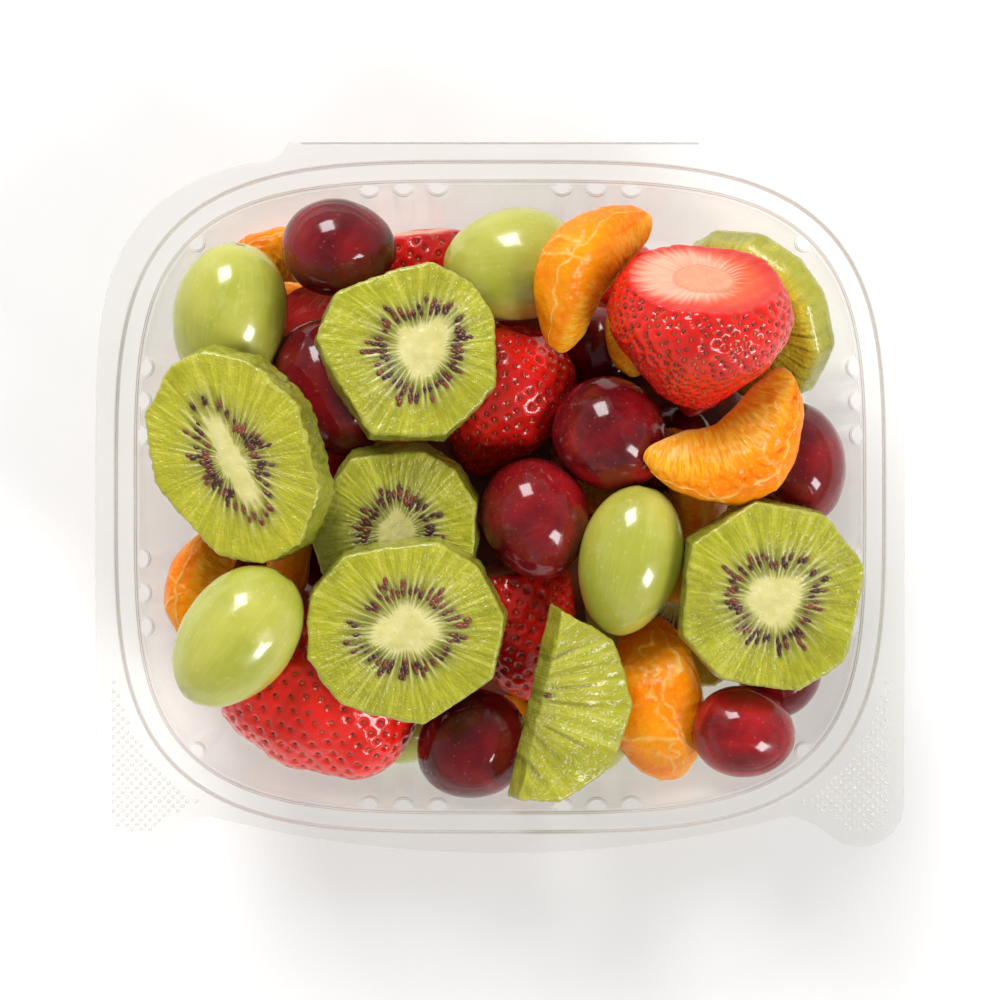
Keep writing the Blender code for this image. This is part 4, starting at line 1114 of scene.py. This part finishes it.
def layBed(fruit):
    # a piece is tried at a random place and turn, and lies at the lowest level where it fits
    source = np.random.default_rng(bed["seed"])
    near = surfacesOf(fruit)
    rim = rimPoint(np.arange(0, 360, 0.75))
    centres, radii, laid = np.zeros((0, 3)), np.zeros(0), []
    kinds = list(bed["kinds"])
    slope = tub["ribTop"] - tub["ribFoot"]
    for attempt in range(bed["tries"]):
        kind = kinds[source.integers(0, 4)] if attempt < bed["tries"] // 3 else kinds[attempt % len(kinds)]
        length, depth, thick = (size * mm for size in bed["kinds"][kind])
        reach = min(depth, thick) / 2
        flat = source.uniform((-74 * mm, -64 * mm), (74 * mm, 64 * mm))
        turn, lean = source.uniform(0, 360), source.uniform(-20, 20)
        level, roll = np.radians([turn, lean]), source.uniform(0, 360)
        axis = np.array([math.cos(level[0]) * math.cos(level[1]), math.sin(level[0]) * math.cos(level[1]),
                         -math.sin(level[1])])
        offsets = np.array([-1, 0, 1])[:, None] * axis * (length / 2 - reach)
        edge = min(np.linalg.norm(rim - flat - offset[:2], axis=1).min() for offset in offsets)
        lowest = bed["low"] + reach - offsets[:, 2].min()
        for height in np.linspace(lowest, bed["high"], bed["levels"]):
            wall = bed["wallFoot"] - bed["wallRise"] * max(0.0, height - tub["ribFoot"]) / slope
            if edge < wall + reach:
                continue
            balls = np.array([*flat, height]) + offsets
            if len(centres):
                gaps = np.linalg.norm(centres[:, None] - balls[None], axis=-1)
                if (gaps.min(axis=1) < radii + reach * 0.93).any():
                    continue
            if all(clearOf(near, ball, reach * 0.97 + bed["clear"]) for ball in balls):
                centres = np.concatenate([centres, balls])
                radii = np.concatenate([radii, np.full(3, reach * 0.93)])
                laid.append((kind, np.array([*flat, height]), (roll, lean, turn)))
                break
    return laid


def clearOf(near, ball, reach):
    found, normal, _, distance = near.find_nearest(tuple(ball))
    outside = (np.array(ball) - np.array(found)) @ np.array(normal) > 0
    return outside and distance > reach



def bedMandarin(length, depth, thick, seed):
    along = -np.cos(np.linspace(0, math.pi, 30))[:, None]
    around = circle(40)
    girth = np.sqrt(np.clip(1 - along ** 2, 0, 1))
    out, up = girth * np.cos(around), girth * np.sin(around)
    grid = vectors(along * length / 2, out * depth / 2 - 0.25 * depth * along ** 2,
                   up * (0.8 + 0.34 * out) * thick / 2)
    bearing = np.degrees(wrapped(around)) * np.ones_like(along)
    warp = 9 * ripple(grid, 12 * mm, seed)
    lines = np.exp(-(np.minimum(np.abs(bearing - 38 + warp), np.abs(bearing + 44 + warp)) / 5) ** 2)
    rise = 0.25 * mm * ripple(grid, 8 * mm, seed + 1) * smooth(0, 0.2, girth)
    grid += unit(grid, 1e-9) * rise[..., None]
    return grid, {"pith": vectors(lines, smooth(60, 85, np.abs(bearing)), 0.0),
                  "sacs": grid / (length / 9, depth, depth)}


def bedShape(kind, length, depth, thick, seed):
    # the coarser shapes of the hidden fruit, with their marks
    if kind.startswith("mandarin"):
        return bedMandarin(length, depth, thick, seed)
    grid, along, around = grapeGrid(length, depth, seed, 28, 36)
    if not kind.startswith("strawberry"):
        return grid, grapeMarks(grid, along, around, 0.3 + 0.4 * (seed % 3) / 2, 0.35, 0)
    taper = 1 + 0.35 * along - 0.15 * along ** 2
    grid = grid * vectors(1, taper, taper)
    slope = np.arccos(np.clip(along, -1, 1))
    pits = np.sin(around * 11 + slope * 4) * np.sin(slope * 14)
    grid += unit(grid) * (0.22 * mm * pits * np.sqrt(np.clip(1 - along ** 2, 0, 1)))[..., None]
    zero = np.zeros(grid.shape[:2])
    # the dips between the bumps are darkened as painted shade, like the seed pits
    return grid, {"face": vectors(zero, 0, smooth(0.1, 0.8, -pits)), "polar": vectors(zero, 0, 0),
                  "blush": zero, "bright": zero + 0.5}


def buildBed(finishes):
    laid = layBed([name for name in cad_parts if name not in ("tub", "fruit_bed")])
    bodies = {kind: Body() for kind in finishes}
    for number, (kind, place, turns) in enumerate(laid):
        grid, marks = bedShape(kind, *(size * mm for size in bed["kinds"][kind]), 300 + number)
        bodies[kind.replace("_small", "")].skin(turned(grid, turns) + place, **marks)
    for family, body in bodies.items():
        if body.count:
            body.place("bed_" + family, finishes[family], "fruit_bed", "fruit_bed")
    return len(laid)


def buildCore(finish):
    # what keeps light out of the middle: a low, rounded block that stands for the deeper fruit, in a dark
    # maroon that is painted shade
    low, high, share = bed["core"]
    line = superellipse(np.arange(120) * 3.0, 70 * mm, 57 * mm, 2.8)
    turn = np.linspace(0, math.pi, 26)[:, None]
    level = (low + high) / 2 - np.cos(turn) * (high - low) / 2
    reach = np.sin(turn) ** 0.55 * share
    grid = vectors(line[:, 0] * reach, line[:, 1] * reach, level)
    grid = grid + (0.9 * mm * ripple(grid, 13 * mm, 71) * np.sin(turn))[..., None] * (0.5, 0.5, 1)
    body = Body()
    body.skin(grid)
    body.place("bed_core", finish, "fruit_bed", "fruit_bed")


def paintedShadeCoreFinish():
    look = Finish("fruit_core_painted_shade", Coat_Weight=0.1, Coat_Roughness=0.2)
    broad = look.noise(look.place(), 90, 3.0)
    # painted shade: dark maroon, as the deep gaps between the fruit look in shadow
    look.set(Base_Color=look.blend(broad.above(0.35, 0.65), (0.13, 0.015, 0.006), (0.30, 0.06, 0.012)),
             Roughness=0.4 + 0.3 * broad, Normal=look.bump(broad, 0.6 * mm, 0.6))
    return look


# everything made, each piece with a seed of its own
# the clear sheet, with the colour of its painted shade lines
buildTub(plasticFinish("clear_plastic", 0.015, (0.22, 0.16, 0.12)))
buildStuds(plasticFinish("stud_plastic", 0.3, (0.9, 0.9, 0.88)))
print("tub made")

kiwiFlesh = kiwiFinish()
kiwiSeeds = [buildKiwi(name, kiwi, 40 + 10 * number, kiwiFlesh)
             for number, (name, kiwi) in enumerate(kiwiSlices.items())]
placeSeeds("kiwi_seeds", kiwiSeeds, dropGrid(*kiwiShape["drop"]),
           seedFinish("kiwi_seed", (0.060, 0.010, 0.004), (0.24, 0.050, 0.015)), "kiwi")
print("kiwi made")

greenSkin, redSkin = greenGrapeFinish(), redGrapeFinish()
for number, (name, grape) in enumerate(grapes.items()):
    buildGrape(name, *grape, 140 + 10 * number, greenSkin if name.startswith("green") else redSkin)
print("grapes made")

berryFlesh = strawberryFinish()
berrySeeds = [buildStrawberry(name, berry, 400 + 10 * number, berryFlesh)
              for number, (name, berry) in enumerate(strawberries.items())]
placeSeeds("strawberry_seeds", berrySeeds, dropGrid(*berryShape["drop"], 7, 6),
           seedFinish("strawberry_seed", (0.18, 0.02, 0.005), (0.50, 0.15, 0.02)), "strawberry")
print("strawberries made")

segmentSkin = mandarinFinish()
for number, (name, segment) in enumerate(mandarins.items()):
    buildMandarin(name, segment, 500 + 10 * number, segmentSkin)
print("mandarins made")

laid = buildBed({"red_grape": redSkin, "green_grape": greenSkin, "mandarin": segmentSkin,
                 "strawberry": berryFlesh})
buildCore(paintedShadeCoreFinish())
print("hidden fruit laid:", laid)

# floor, light and camera
studio = {"floor": 12.0, "floorGlow": 0.2, "floorDrop": 0.15 * mm,
          "cameraHeight": 0.95, "cameraY": -0.0007, "view": 14.47, "nearest": 0.05,
          "lamps": {"window": ((-0.24, 0.73, 0.62), (1.15, 1.4), 80),
                    "right": ((0.62, -0.5, 0.57), (0.8, 1.1), 50)},
          "distance": 3.0, "horizon": 0.66, "zenith": 0.28}


def buildFloor():
    side = studio["floor"] / 2
    level = -studio["floorDrop"]
    mesh = bpy.data.meshes.new("floor")
    mesh.from_pydata([(-side, -side, level), (side, -side, level), (side, side, level), (-side, side, level)],
                     [], [(0, 1, 2, 3)])
    look = Finish("floor", Roughness=0.9, Emission_Color=(1, 1, 1, 1), Emission_Strength=studio["floorGlow"])
    grain = look.noise(look.place(), 40, 2.0)
    look.set(Base_Color=look.blend(grain, (0.80, 0.80, 0.80), (0.82, 0.82, 0.82)))
    mesh.materials.append(look.material)
    floor = bpy.data.objects.new("floor", mesh)
    bpy.context.scene.collection.objects.link(floor)


def buildLamps():
    for name, (direction, size, power) in studio["lamps"].items():
        lamp = bpy.data.lights.new(name, "AREA")
        lamp.shape, lamp.size, lamp.size_y, lamp.energy = "RECTANGLE", size[0], size[1], power
        holder = bpy.data.objects.new(name, lamp)
        way = np.array(direction) / np.linalg.norm(direction)
        holder.location = way * studio["distance"]
        holder.rotation_euler = (-holder.location).to_track_quat("-Z", "Y").to_euler()
        bpy.context.scene.collection.objects.link(holder)


def buildWorld():
    world = bpy.data.worlds.new("studio")
    bpy.context.scene.world = world
    world.use_nodes = True
    nodes, links = world.node_tree.nodes, world.node_tree.links
    way = nodes.new("ShaderNodeTexCoord")
    parts = nodes.new("ShaderNodeSeparateXYZ")
    ramp = nodes.new("ShaderNodeMapRange")
    ramp.interpolation_type = "SMOOTHSTEP"
    ramp.inputs["From Min"].default_value, ramp.inputs["From Max"].default_value = 0.05, 0.95
    ramp.inputs["To Min"].default_value = studio["horizon"]
    ramp.inputs["To Max"].default_value = studio["zenith"]
    links.new(way.outputs["Generated"], parts.inputs[0])
    links.new(parts.outputs["Z"], ramp.inputs["Value"])
    links.new(ramp.outputs[0], nodes["Background"].inputs["Strength"])
    nodes["Background"].inputs["Color"].default_value = (1.0, 0.99, 0.975, 1)


def buildCamera():
    camera = bpy.data.cameras.new("camera")
    camera.angle = math.radians(studio["view"])
    camera.clip_start = studio["nearest"]
    holder = bpy.data.objects.new("camera", camera)
    holder.location = (0, studio["cameraY"], studio["cameraHeight"])
    bpy.context.scene.collection.objects.link(holder)
    bpy.context.scene.camera = holder


buildFloor()
buildLamps()
buildWorld()
buildCamera()
bpy.context.scene.view_settings.view_transform = "Standard"
print("studio made")
